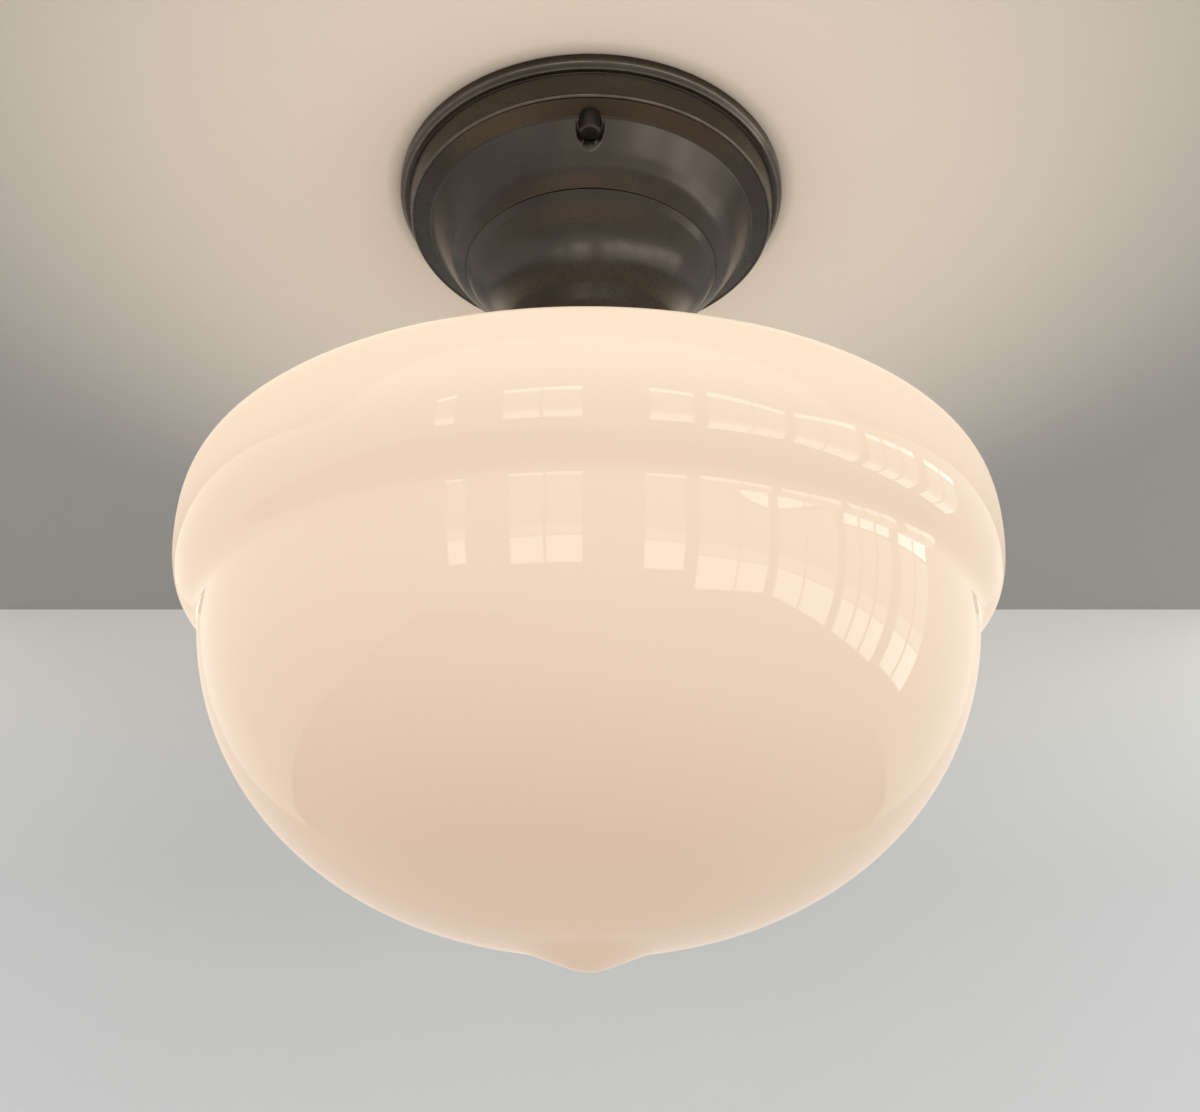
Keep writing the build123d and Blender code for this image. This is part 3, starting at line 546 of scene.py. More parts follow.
def bronze_finish(finishes, name, edges=(), pockets=(), coarse=0.0):
    """Satin bronze: faint dark and light clouds, a fine grain, and paler edges that are partly rubbed wear
    and partly a painted highlight where small round edges catch the light.

    An edge is a ring of radius r at height z: its mask is exp(-((r - r0)^2 + (z - z0)^2) / w^2).
    A pocket is a well about an upright line on Y: under its top, the surface dips as it rolls into it.
    """
    made, paint = material(name)
    cloud = paint.ramp(paint.noise(26.0, 4.0, 0.55), 0.25, 0.75)
    grain = paint.noise(1500.0, 2.0)
    colour = paint.mix(cloud, finishes.bronze_dark, finishes.bronze_light)
    rubbed_and_highlit = 0.0
    height = 0.006 * MM * grain + 0.006 * MM * paint.noise(220.0, 2.0)
    # Edge rings lighten the colour: partly rubbed wear, partly a painted highlight along small round edges.
    if edges:
        r, z = paint.radius()
        for ring_r, ring_z, width in edges:
            aside, above = r - ring_r, z - ring_z
            away = (aside * aside + above * above) / (width * width)
            rubbed_and_highlit = rubbed_and_highlit + away.math("EXPONENT", 0.0 - away)
        broken = paint.ramp(paint.noise(120.0, 3.0, 0.6), 0.25, 0.7, 0.5, 1.0)
        rubbed_and_highlit = rubbed_and_highlit.math("MINIMUM", rubbed_and_highlit * broken, 1.0)
        colour = paint.mix(rubbed_and_highlit * 0.7, colour, finishes.bronze_edge_wear_and_highlight)
    if pockets:
        x, y, z = paint.axes()
        roll, dip = 2.0 * MM, 0.6 * MM
        for pocket_y, pocket_r, pocket_z in pockets:
            along = y - pocket_y
            away = (x * x + along * along) ** 0.5
            under = paint.ramp(z, pocket_z - 0.5 * roll, pocket_z - 1.5 * roll)
            height = height - paint.ramp(away, pocket_r, pocket_r + roll, dip, 0.0) * under
    rough = 0.22 + coarse + 0.05 * cloud + 0.05 * grain - 0.03 * rubbed_and_highlit
    paint.principled(Base_Color=colour, Metallic=0.92, Roughness=rough, Normal=paint.bump(height, 1.0))
    return made


def opal_finish(finishes, s):
    """Lit opal glass: warm light through it that fades from the cap down to the nub, under a clear gloss.

    The glow is painted about a sixth dimmer on the +X side than on the -X side. This is painted shade that
    offsets the window light falling on that side.
    """
    made, paint = material("lit_opal_glass")
    x, _, z = paint.axes()
    z_shoulder, z_girth, z_crease = globe_heights(s)
    cloud = paint.noise(9.0, 3.0)
    glow = paint.mix(paint.ramp(z, GLOBE_FOOT, z_crease), finishes.glow_foot, finishes.glow_bowl)
    side = paint.ramp(z, z_girth - 0.6 * s.skirt, z_girth + 0.2 * s.shoulder_b)
    glow = paint.mix(side, glow, finishes.glow_cap)
    glow = paint.mix(paint.ramp(z, z_shoulder - 0.3 * s.shoulder_b, z_shoulder), glow, finishes.glow_top)
    # Painted shade: the glow dims toward +X, where the window lights fall.
    glow = paint.mix(0.10 + x * (0.08 / GIRTH_R), glow, (0.0, 0.0, 0.0))
    tone = paint.mix(cloud * 0.25, finishes.opal, tuple(1.06 * c for c in finishes.opal))
    seed = paint.ramp(paint.noise(160.0, 2.0, 0.4), 0.62, 0.8)
    normal = paint.bump(paint.noise(11.0, 1.0), 0.10 * MM, 0.35)
    paint.principled(
        Base_Color=tone, Roughness=0.03 + 0.015 * cloud + 0.02 * seed, IOR=1.52, Normal=normal,
        Emission_Color=glow, Emission_Strength=1.0)
    return made


def plated_finish(name, colour, rough, pale, spangle=60.0):
    """Plated metal: faint cloudy spangle, drawn scratches and a paler tone in patches."""
    made, paint = material(name)
    cloud = paint.ramp(paint.noise(spangle, 4.0, 0.65), 0.3, 0.7)
    drawn = paint.noise(900.0, 2.0, 0.5, (1.0, 0.06, 1.0))
    tone = paint.mix(cloud * 0.5, colour, pale)
    paint.principled(
        Base_Color=tone, Metallic=1.0, Roughness=rough + 0.14 * cloud + 0.08 * drawn,
        Normal=paint.bump(drawn, 0.02 * MM, 0.4))
    return made


def moulded_finish(name, colour, rough, shade=0.75):
    """Plastic or glazed ware: a slightly uneven colour and a fine orange-peel surface."""
    made, paint = material(name)
    cloud = paint.noise(140.0, 3.0)
    darker = tuple(shade * c for c in colour)
    paint.principled(
        Base_Color=paint.mix(paint.ramp(cloud, 0.3, 0.7), darker, colour), Roughness=rough + 0.12 * cloud,
        Normal=paint.bump(paint.noise(800.0, 2.0), 0.02 * MM, 0.4))
    return made


def frosted_finish(finishes):
    """The lit lamp: a frosted white envelope whose glow is strongest round its widest part."""
    made, paint = material("frosted_lamp_glass")
    low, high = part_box("bulb_envelope")
    _, _, z = paint.axes()
    heart = paint.ramp(z, high.z, low.z + 0.55 * (high.z - low.z))
    glow = paint.mix(heart, (0.16, 0.10, 0.05), (0.60, 0.52, 0.39))
    grain = paint.noise(1200.0, 2.0)
    frost = paint.mix(grain * 0.3, finishes.frost, (0.32, 0.30, 0.26))
    paint.principled(
        Base_Color=frost, Roughness=0.32 + 0.15 * grain, Emission_Color=glow, Emission_Strength=1.0,
        Normal=paint.bump(grain, 0.02 * MM, 0.4))
    return made


def stud_line():
    """How far the studs stand from the light's axis, along Y."""
    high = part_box("canopy_studs")[1]
    return high.y - high.x


def canopy_stations(s):
    """The canopy's main radii and heights, from the rim inwards and downwards."""
    z_bevel = -s.rim_h
    z_ledge = z_bevel - s.bevel_h
    z_seat = z_ledge - s.lip_h
    lip_r = RIM_R - s.bevel_w - s.ledge
    seat_r = lip_r - s.lip_draft
    return z_bevel, z_ledge, z_seat, lip_r, seat_r, seat_r - s.seat_w


def canopy_faces(s):
    """The pan's outer line, from rim, ledge, lip and bead to seat, bell and flat, and its inner line."""
    z_bevel, z_ledge, z_seat, lip_r, seat_r, bell_r = canopy_stations(s)
    rim = [(RIM_R, 0), (RIM_R, z_bevel), (RIM_R - s.bevel_w, z_ledge), (lip_r, z_ledge)]
    rim_rounds = [1.4 * MM, EDGE, EDGE]
    z_break = z_seat - s.seat_drop - s.bell_break
    turn_r = bell_r - s.bell_draft - s.bell_turn
    bell = [
        (bell_r, z_seat - s.seat_drop),
        (bell_r - s.bell_draft, z_break),
        (turn_r, z_break - s.bell_turn_h),
        (turn_r - s.pan_slope, Z_PAN),
        (BORE_R, Z_PAN),
    ]
    bell_rounds = [2.0 * MM, 60.0 * MM, 14.0 * MM, 1.5 * MM]
    centre = np.array((seat_r - s.bead_r / 3, z_seat + s.bead_r / 3))
    down = np.array((seat_r - lip_r, z_seat - z_ledge))
    down = down / np.linalg.norm(down)
    gap = centre - np.array((lip_r, z_ledge))
    along = gap @ down
    meet = np.array((lip_r, z_ledge)) + down * (along - math.sqrt(s.bead_r ** 2 - (gap @ gap - along ** 2)))
    inward = -np.array((s.seat_w, s.seat_drop)) / math.hypot(s.seat_w, s.seat_drop)
    aside = np.array((seat_r, z_seat)) - centre
    along = aside @ inward
    leave = centre + aside + inward * (math.sqrt(along ** 2 + s.bead_r ** 2 - aside @ aside) - along)
    first = math.atan2(*(meet - centre)[::-1])
    last = math.atan2(*(leave - centre)[::-1])
    outer = np.vstack((
        rounded_line(rim + [meet], rim_rounds),
        arc(centre, s.bead_r, first, last),
        rounded_line([leave] + bell, bell_rounds, 16)))
    whole = rim + [(seat_r, z_seat)] + bell
    inner, inner_rounds = offset_line(whole, rim_rounds + [2.2 * MM] + bell_rounds, s.sheet)
    return outer, rounded_line(inner, inner_rounds, 10)


def fitter_profile(s):
    """The casting's closed section: flange, funnel, neck, waist, flare and beaded cup, then its inside."""
    z_funnel = Z_PAN - s.flange_t
    z_plate = Z_PAN - s.plate_t
    z_neck = Z_PAN - s.neck_h
    z_waist = z_neck - s.waist_h
    wall = [
        (s.flange_r - s.flange_draft, z_funnel),
        (s.neck_r, z_funnel - s.funnel_h),
        (s.neck_r, z_neck),
        (s.waist_r, z_waist),
        (s.cup_r, z_waist - s.flare_h),
        (s.cup_r, Z_CUP_END),
    ]
    wall_rounds = [s.throat_round, 9.0 * MM, 12.0 * MM, 8.0 * MM]
    centre = (s.cup_r - s.bead_r / 3, Z_CUP_END + s.bead_r)
    first = math.acos(1 / 3)
    meet = (s.cup_r, centre[1] + s.bead_r * math.sin(first))
    inner, inner_rounds = offset_line(wall, wall_rounds, s.cup_wall)
    lean = (s.flange_r - s.flange_draft - s.neck_r) / s.funnel_h
    inner[0] = (inner[0][0] + (z_plate - inner[0][1]) * lean, z_plate)
    flange = [(BORE_R, Z_PAN), (s.flange_r, Z_PAN)]
    outer = np.vstack((
        rounded_line(flange + wall[:-1] + [meet], [EDGE, 3.0 * MM] + wall_rounds, 16),
        arc(centre, s.bead_r, first, -math.pi / 2)))
    inside = np.vstack(([BORE_R, z_plate], inner))
    inside = rounded_line(inside, [0.4 * MM] + list(inner_rounds), 12)
    return np.vstack((outer, inside[::-1], outer[:1]))


def globe_heights(s):
    """The heights of the shoulder, the girth and the crease."""
    z_shoulder = Z_CUP_END - s.under_cup - s.cap_fall
    z_girth = z_shoulder - s.shoulder_b
    return z_shoulder, z_girth, z_girth - s.skirt


def globe_face(s, inset):
    """One face of the glass: shoulder, skirt and bowl are cubic curves, the crease an arc.

    The inner face is drawn from the same points, moved in by the inset.
    """
    z_shoulder, z_girth, z_crease = globe_heights(s)
    girth = GIRTH_R - inset
    top_r = GIRTH_R - s.shoulder_a
    slope = s.cap_fall / (top_r - s.neck_r)
    run = SHOULDER_TOP * (s.shoulder_a - inset)
    hollow = s.crease + inset
    toward = np.array((math.cos(s.bowl_tilt), -math.sin(s.bowl_tilt)))
    centre = np.array((s.bowl_r, z_crease)) + s.crease * toward
    hollow_arc = arc(centre, hollow, math.pi - s.crease_tilt, math.pi - s.bowl_tilt, 16)
    ledge, foot = hollow_arc[0], hollow_arc[-1]
    low = z_girth - ledge[1]
    deep = GLOBE_FOOT + s.nub_h + inset
    drop = BOWL_SIDE * (foot[1] - deep)
    shoulder = bezier(
        (top_r, z_shoulder - inset), (top_r + run, z_shoulder - inset - run * slope),
        (girth, z_girth + SHOULDER_SIDE * (s.shoulder_b - inset)), (girth, z_girth), 26)
    skirt = bezier(
        (girth, z_girth), (girth, z_girth - SKIRT_SIDE * low),
        ledge + SKIRT_LEDGE * low * np.array((math.sin(s.crease_tilt), math.cos(s.crease_tilt))), ledge, 26)
    bowl = bezier(
        foot, foot - drop * np.array((math.sin(s.bowl_tilt), math.cos(s.bowl_tilt))),
        (BOWL_FOOT * foot[0], deep), (0, deep), 70)
    return np.vstack((shoulder[1:], skirt[1:], hollow_arc[1:], bowl[1:]))


def globe_profile(s):
    """The glass's closed section: lip, neck and cap, down outside to the nub, and back up inside."""
    z_cap = Z_CUP_END - s.under_cup
    z_shoulder = z_cap - s.cap_fall
    z_under = GLOBE_TOP - s.lip_h
    top_r = GIRTH_R - s.shoulder_a
    bore = s.neck_r - s.glass
    outer = globe_face(s, 0.0)
    bowl = outer[outer[:, 0] > s.nub_r]
    way = bowl[-1] - bowl[-2]
    way = way / np.linalg.norm(way)
    nub = bezier(
        bowl[-1], bowl[-1] + way * NUB_SIDE * s.nub_r, (NUB_TIP * s.nub_r, GLOBE_FOOT), (0, GLOBE_FOOT), 18)
    rim = [
        (bore, GLOBE_TOP), (s.lip_r, GLOBE_TOP), (s.lip_r, z_under), (s.neck_r, z_under), (s.neck_r, z_cap)]
    neck_round = 4.5 * MM
    outer_top = rounded_line(rim + [(top_r, z_shoulder)], [1.5 * MM, 0.4 * MM, EDGE, neck_round])
    inner_top = rounded_line(
        [(top_r, z_shoulder - s.glass), (bore, z_cap - s.glass), (bore, GLOBE_TOP)], [neck_round + s.glass])
    return np.vstack((outer_top, bowl, nub[1:], globe_face(s, s.glass)[::-1], inner_top, outer_top[:1]))


class LIGHT_OT_globe(Operator):
    """Turns the opal glass globe, with slow waves in its wall"""
    bl_idname = "light.globe"
    bl_label = "Globe"

    def execute(self, context):
        s = context.scene.light_globe

        def relief(r, t, z):
            """Waves of two and three lobes that drift with height, inwards, and nil at the lip and nub."""
            wave = 0.5 + 0.25 * np.cos(2 * t + 14 * z) + 0.25 * np.cos(3 * t - 9 * z + 1.0)
            return r - s.ripple * wave * np.clip((r - s.lip_r) / s.lip_r, 0, 1)

        mesh = grids_to_mesh("globe", [turned(globe_profile(s), 240, relief)])
        finish = opal_finish(context.scene.light_finishes, s)
        piece("opal_globe", mesh, "glass", finish, GLOBE_NODES, 40.0)
        return {"FINISHED"}


class LIGHT_OT_canopy(Operator):
    """Turns the stepped bronze canopy and sinks a pocket into its bell for each cap nut"""
    bl_idname = "light.canopy"
    bl_label = "Canopy"

    def execute(self, context):
        s = context.scene.light_canopy
        z_bevel, z_ledge, z_seat, _, seat_r, _ = canopy_stations(s)
        stud_y = stud_line()
        outer, inner = canopy_faces(s)
        shy = 0.05 * MM
        below = Z_PAN - s.sheet
        roof = z_seat + s.sheet - shy
        core = np.vstack(([0, shy], outer + np.array((-shy, shy)), [0, Z_PAN + shy]))
        wall_r = s.pocket_r + s.sheet
        wall = np.array([(0, roof), (wall_r, roof), (wall_r, below), (0, below)])
        step = z_seat + 0.02 * MM
        snug = s.pocket_r - s.pocket_flare
        mouth = z_seat - s.seat_drop
        bit = np.array([
            (0, z_ledge), (s.stud_hole, z_ledge), (s.stud_hole, step), (snug, step), (snug, mouth),
            (s.pocket_r, mouth - 2 * MM), (s.pocket_r, below), (0, below)])
        sides = [np.array((0.0, y, 0.0)) for y in (-stud_y, stud_y)]
        walls = grids_to_mesh("pocket_walls", [turned(wall, 72) + side for side in sides])
        bits = grids_to_mesh("pocket_bits", [turned(bit, 72) + side for side in sides])
        mesh = grids_to_mesh("canopy", [turned(np.vstack((outer, inner[::-1], outer[:1])), 256)])
        walls = carved(walls, grids_to_mesh("pan_core", [turned(core, 256)]), "INTERSECT")
        mesh = carved(carved(mesh, walls, "UNION"), bits)
        # Rim, ledge and bead are lightened partly as wear and partly as a painted highlight.
        edges = [
            (RIM_R, z_bevel, 0.9 * MM),
            (RIM_R - s.bevel_w, z_ledge, 0.6 * MM),
            (seat_r + s.bead_r / 2, z_seat - s.bead_r / 2, 0.8 * MM),
        ]
        pockets = [(y, s.pocket_r, mouth) for y in (-stud_y, stud_y)]
        finish = bronze_finish(context.scene.light_finishes, "satin_bronze_canopy", edges, pockets)
        piece("bronze_canopy", mesh, "fixture", finish, ["canopy"], 40.0)
        return {"FINISHED"}


class LIGHT_OT_fitter(Operator):
    """Turns the fitter, bores its cup and sets the three bosses on it"""
    bl_idname = "light.fitter"
    bl_label = "Fitter"

    def execute(self, context):
        s = context.scene.light_fitter
        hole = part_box("thumbscrew_1")
        height = (hole[0].z + hole[1].z) / 2
        bore = SCREW_BORE
        end = s.cup_r + s.boss_out
        root = s.cup_r - s.cup_wall / 2
        section = rounded_line(
            [(bore, root), (s.boss_r * 1.3, root), (s.boss_r, s.cup_r + 0.6 * MM), (s.boss_r, end),
             (bore, end), (bore, root)],
            [EDGE, 2.0 * MM, 0.7 * MM, EDGE])
        start = root - 4 * MM
        tool = np.array([(0, start), (bore, start), (bore, end), (0, end)])
        mesh = grids_to_mesh("fitter", [turned(fitter_profile(s), 240)])
        tools = [placed(turned(tool, 40), (0, 0, height), way) for way in screw_ways()]
        bosses = [placed(turned(section, 48), (0, 0, height), way) for way in screw_ways()]
        mesh = carved(mesh, grids_to_mesh("bores", tools))
        mesh = joined(mesh, grids_to_mesh("bosses", bosses))
        # The cup's mouth is lightened partly as wear and partly as a painted highlight.
        edges = [(s.cup_r, Z_CUP_END, 0.9 * MM)]
        finish = bronze_finish(context.scene.light_finishes, "satin_bronze_fitter", edges)
        piece("bronze_fitter", mesh, "fixture", finish, ["fitter"], 40.0)
        return {"FINISHED"}


class LIGHT_OT_cap_nuts(Operator):
    """Turns the two cap nuts that hold the canopy on its studs"""
    bl_idname = "light.cap_nuts"
    bl_label = "Cap nuts"

    def execute(self, context):
        bore = SCREW_BORE
        roof = 1.2 * MM
        for name in ("cap_nut_front", "cap_nut_back"):
            low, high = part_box(name)
            r = (high.x - low.x) / 2
            face = r - 0.7 * MM
            dome = bezier((0, low.z), (face / 2, low.z), (face / 2, low.z), (face, low.z + 0.25 * MM), 10)
            side = rounded_line(
                [dome[-2], dome[-1], (r, low.z + 0.85 * MM), (r, high.z - 0.2 * MM), (r - 0.2 * MM, high.z),
                 (bore, high.z)],
                [EDGE, EDGE, EDGE / 4, EDGE / 4])
            outer = np.vstack((dome[:-1], side[1:]))
            well = rounded_line([(bore, high.z), (bore, low.z + roof), (0, low.z + roof)], [EDGE])
            centre = np.array((0, (low.y + high.y) / 2, 0))
            mesh = grids_to_mesh(name, [turned(np.vstack((outer, well)), 96) + centre])
            finish = bronze_finish(context.scene.light_finishes, "satin_bronze_" + name, coarse=0.14)
            piece("bronze_" + name, mesh, name, finish, [name])
        return {"FINISHED"}


class LIGHT_OT_thumbscrews(Operator):
    """Makes the three thumbscrews, with a thread, a collar and a knurled head"""
    bl_idname = "light.thumbscrews"
    bl_label = "Thumbscrews"

    def execute(self, context):
        s = context.scene.light_hardware
        low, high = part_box("thumbscrew_3")
        height = (low.z + high.z) / 2
        head_r = (high.z - low.z) / 2
        tip, head_end = -high.y, -low.y
        collar = head_end - 7.5 * MM
        grip = head_end - 6.0 * MM
        screw_r, collar_r, cut = 2.08 * MM, 3.2 * MM, 0.6 * MM
        shank = threaded_rod(screw_r, s.screw_depth, s.screw_pitch, tip, collar + 0.5 * MM)
        sunk = grip + 0.5 * MM
        flange = turned(
            rounded_line([(0, collar), (collar_r, collar), (collar_r, sunk), (0, sunk)], [EDGE, EDGE]), 48)
        side = upright(head_r, np.linspace(grip + cut, head_end - cut, 4))
        section = np.vstack((
            [0, grip], [head_r - cut, grip], side, [head_r - cut, head_end],
            [0.55 * head_r, head_end], [0.5 * head_r, head_end - 0.4 * MM], [0, head_end - 0.4 * MM]))

        def flutes(r, t, z):
            """Round flutes at even angles: the radius falls by the depth of a circle of knurl_r."""
            step = 2 * np.pi / s.knurls
            aside = head_r * (np.mod(t + step / 2, step) - step / 2)
            depth = np.sqrt(np.maximum(s.knurl_r ** 2 - aside ** 2, 0))
            return np.where(r > head_r - 2 * cut, np.minimum(r, head_r - depth), r)

        head = turned(section, 12 * s.knurls, flutes)
        finish = bronze_finish(context.scene.light_finishes, "satin_bronze_thumbscrews")
        for i, way in enumerate(screw_ways()):
            name = f"thumbscrew_{i + 1}"
            grids = [placed(grid, (0, 0, height), way) for grid in (shank, flange, head)]
            piece("bronze_" + name, grids_to_mesh(name, grids), name, finish, [name])
        return {"FINISHED"}


class LIGHT_OT_ceiling_hardware(Operator):
    """Makes the studs and jam nuts, and finishes the crossbar and its earth screw"""
    bl_idname = "light.ceiling_hardware"
    bl_label = "Ceiling hardware"

    def execute(self, context):
        s = context.scene.light_hardware
        finishes = context.scene.light_finishes
        zinc = plated_finish("zinc_plate_crossbar", finishes.zinc, 0.30, (0.70, 0.71, 0.66))
        low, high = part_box("canopy_studs")
        reach = stud_line()
        nut_low, nut_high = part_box("jam_nuts")
        across = 2 * (nut_high.y - reach)
        studs = []
        nuts = []
        rod = threaded_rod(high.x, s.screw_depth, s.screw_pitch, low.z, high.z)
        for y in (-reach, reach):
            studs.append(rod + np.array((0, y, 0)))
            nuts.append(hex_nut(across, nut_high.z - nut_low.z, high.x, nut_high.z, y))
        mesh = grids_to_mesh("studs", studs)
        piece("threaded_studs", mesh, "fixture", zinc, ["canopy_studs"])
        mesh = grids_to_mesh("jam_nuts", nuts)
        piece("stud_jam_nuts", mesh, "fixture", zinc, ["jam_nuts"], 20.0)
        dress("crossbar", zinc)
        dress("ground_screw", plated_finish("green_dyed_zinc", finishes.green, 0.34, (0.05, 0.30, 0.12)))
        return {"FINISHED"}


class LIGHT_OT_nipple(Operator):
    """Makes the threaded nipple with its locknuts"""
    bl_idname = "light.nipple"
    bl_label = "Nipple and nuts"

    def execute(self, context):
        s = context.scene.light_hardware
        finishes = context.scene.light_finishes
        zinc = plated_finish("zinc_plate_nipple", finishes.zinc, 0.30, (0.72, 0.70, 0.60))
        low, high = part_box("nipple")
        bore = 3.3 * MM
        outer = upright(NIPPLE_R, np.arange(low.z, high.z, s.pipe_pitch / THREAD_ROWS))
        section = np.vstack(([bore, low.z], outer, [NIPPLE_R, high.z], [bore, high.z], [bore, low.z]))

        def relief(r, t, z):
            end = np.clip(np.minimum(z - low.z, high.z - z) / s.pipe_pitch, 0, 1)
            wave = 1 - end * thread_wave(z, t, s.pipe_pitch, 0.12)
            return np.where(r > bore, NIPPLE_R - s.pipe_depth * wave, bore)

        mesh = grids_to_mesh("nipple", [turned(section, 64, relief)])
        piece("threaded_nipple", mesh, "fixture", zinc, ["nipple"])
        for name in ("upper_locknut", "lower_locknut", "socket_locknut"):
            low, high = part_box(name)
            mesh = grids_to_mesh(name, [hex_nut(2 * high.y, high.z - low.z, NIPPLE_R, high.z)])
            piece("hex_" + name, mesh, "fixture", zinc, [name], 20.0)
        dress("lock_washer", zinc)
        return {"FINISHED"}


class LIGHT_OT_lampholder(Operator):
    """Rolls the brass screw shell, and finishes the porcelain, the bracket and the small screws"""
    bl_idname = "light.lampholder"
    bl_label = "Lampholder"

    def execute(self, context):
        s = context.scene.light_hardware
        finishes = context.scene.light_finishes
        brass = plated_finish("brass_shell", finishes.brass, 0.22, (0.74, 0.55, 0.26))
        zinc = plated_finish("zinc_plate_bracket", finishes.zinc, 0.30, (0.70, 0.70, 0.66))
        low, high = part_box("socket_shell")
        wall, roll, hole, plain = 0.3 * MM, 0.2 * MM, 6.5 * MM, 1.5 * MM
        outer = upright(high.x, np.linspace(low.z, high.z - plain, 120))
        inner = outer[::-1] - np.array((wall, 0))
        roof = [(high.x, high.z), (hole, high.z), (hole, high.z - wall), (high.x - wall, high.z - wall)]
        section = np.vstack((outer, roof, inner, outer[:1]))

        def relief(r, t, z):
            """A rolled thread: both faces fall by half a cosine wave of z / pitch - t / turn."""
            fade = faded(z, low.z, 1 * MM, high.z - plain, 2 * MM)
            wave = 0.5 - 0.5 * np.cos(2 * np.pi * (z / s.lamp_pitch) - t)
            return np.where(r > 2 * hole, r - roll * fade * wave, r)

        mesh = grids_to_mesh("screw_shell", [turned(section, 96, relief)])
        piece("rolled_socket_shell", mesh, "fixture", brass, ["socket_shell"])
        dress("socket_contact", brass)
        dress("terminal_screws", brass)
        dress("socket_bracket", zinc)
        dress("bracket_screws", zinc)
        dress("socket_body", moulded_finish("glazed_porcelain", finishes.porcelain, 0.10, 0.92))
        return {"FINISHED"}


class LIGHT_OT_wiring(Operator):
    """Moulds the ribbed wire connectors, and finishes the leads and the earth wire"""
    bl_idname = "light.wiring"
    bl_label = "Wiring"

    def execute(self, context):
        s = context.scene.light_hardware
        finishes = context.scene.light_finishes
        dress("lead_hot", moulded_finish("black_insulation", finishes.black_wire, 0.38))
        dress("lead_neutral", moulded_finish("white_insulation", finishes.white_wire, 0.38))
        dress("ground_wire", plated_finish("bare_copper", finishes.copper, 0.26, (0.60, 0.30, 0.18)))
        low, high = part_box("wire_connectors")
        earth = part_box("ground_wire")
        height = (low.z + high.z) / 2
        long, mouth, end_r, tip_r = 22.0 * MM, 6.2 * MM, 3.6 * MM, 1.2 * MM
        wire, grip, lead_end = 1.2 * MM, 12.0 * MM, 46.0 * MM
        bell = rounded_line([(wire, 4.0 * MM), (3.2 * MM, 0), (mouth, 0)], [EDGE])
        body = np.stack((np.linspace(mouth, end_r, 24), np.linspace(0.0, long, 24)), axis=1)[1:-1]
        dome = arc((end_r - tip_r, long - tip_r), tip_r, 0.2, math.pi / 2, 6)
        section = np.vstack((bell, body, dome, [0, long], [0, grip], [wire, grip], bell[:1]))

        def ribs(r, t, z):
            """Ribs along the cap: the radius falls by up to 7 percent between them, fading at both ends."""
            fade = faded(z, 1.5 * MM, 2 * MM, long - 3 * MM, 3 * MM)
            groove = np.clip(0.5 - 0.9 * np.cos(s.ribs * t), 0, 1)
            return np.where(r > 3.3 * MM, r * (1 - 0.07 * fade * groove), r)

        cap = turned(section, 8 * s.ribs, ribs)
        places = [
            ((lead_end - grip, 0.0), 1.0),
            ((grip - lead_end, 0.0), -1.0),
            ((earth[1].x - grip, (earth[0].y + earth[1].y) / 2), 1.0),
        ]
        caps = [placed(cap, (x, y, height), (way, 0.0, 0.0)) for (x, y), way in places]
        finish = moulded_finish("connector_plastic", finishes.connector, 0.30)
        mesh = grids_to_mesh("connectors", caps)
        piece("ribbed_wire_connectors", mesh, "fixture", finish, ["wire_connectors"])
        return {"FINISHED"}


class LIGHT_OT_lamp(Operator):
    """Rolls the lamp's threaded base, and finishes its glass, stem and tip"""
    bl_idname = "light.lamp"
    bl_label = "Lamp"

    def execute(self, context):
        s = context.scene.light_hardware
        finishes = context.scene.light_finishes
        nickel = plated_finish("nickel_plate", finishes.nickel, 0.18, (0.70, 0.66, 0.58))
        low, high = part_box("bulb_base")
        root, neck, inside, plain = 12.55 * MM, 12.2 * MM, 11.9 * MM, 3.4 * MM
        outer = upright(high.x, np.linspace(low.z + plain, high.z, 100))
        z_neck = low.z + 8.0 * MM
        section = np.vstack((
            [root, low.z], [root, low.z + plain - 0.2 * MM], outer, [inside, high.z], [inside, z_neck],
            [neck, z_neck], [neck, low.z], [root, low.z]))

        def relief(r, t, z):
            """A rolled thread: from root to crest and back on a cosine of z / pitch - t / turn."""
            fade = faded(z, low.z + plain, 1.5 * MM, high.z, 1.5 * MM)
            wave = 0.5 + 0.5 * np.cos(2 * np.pi * (z / s.lamp_pitch) - t)
            return np.where(r > root + EDGE, root + (high.x - root) * fade * wave, r)

        mesh = grids_to_mesh("lamp_base", [turned(section, 96, relief)])
        piece("rolled_lamp_base", mesh, "lamp", nickel, ["bulb_base"], 50.0)
        dress("bulb_envelope", frosted_finish(finishes))
        dress("bulb_tip", plated_finish("solder_tip", (0.55, 0.54, 0.52), 0.35, (0.65, 0.64, 0.6)))
        dress("bulb_insulator", moulded_finish("black_lamp_insulator", (0.02, 0.018, 0.022), 0.15))
        dress("bulb_stem", moulded_finish("lamp_stem_glass", (0.62, 0.66, 0.65), 0.08, 0.9))
        dress("bulb_filament", plated_finish("tungsten_wire", (0.30, 0.29, 0.28), 0.40, (0.36, 0.35, 0.33)))
        return {"FINISHED"}


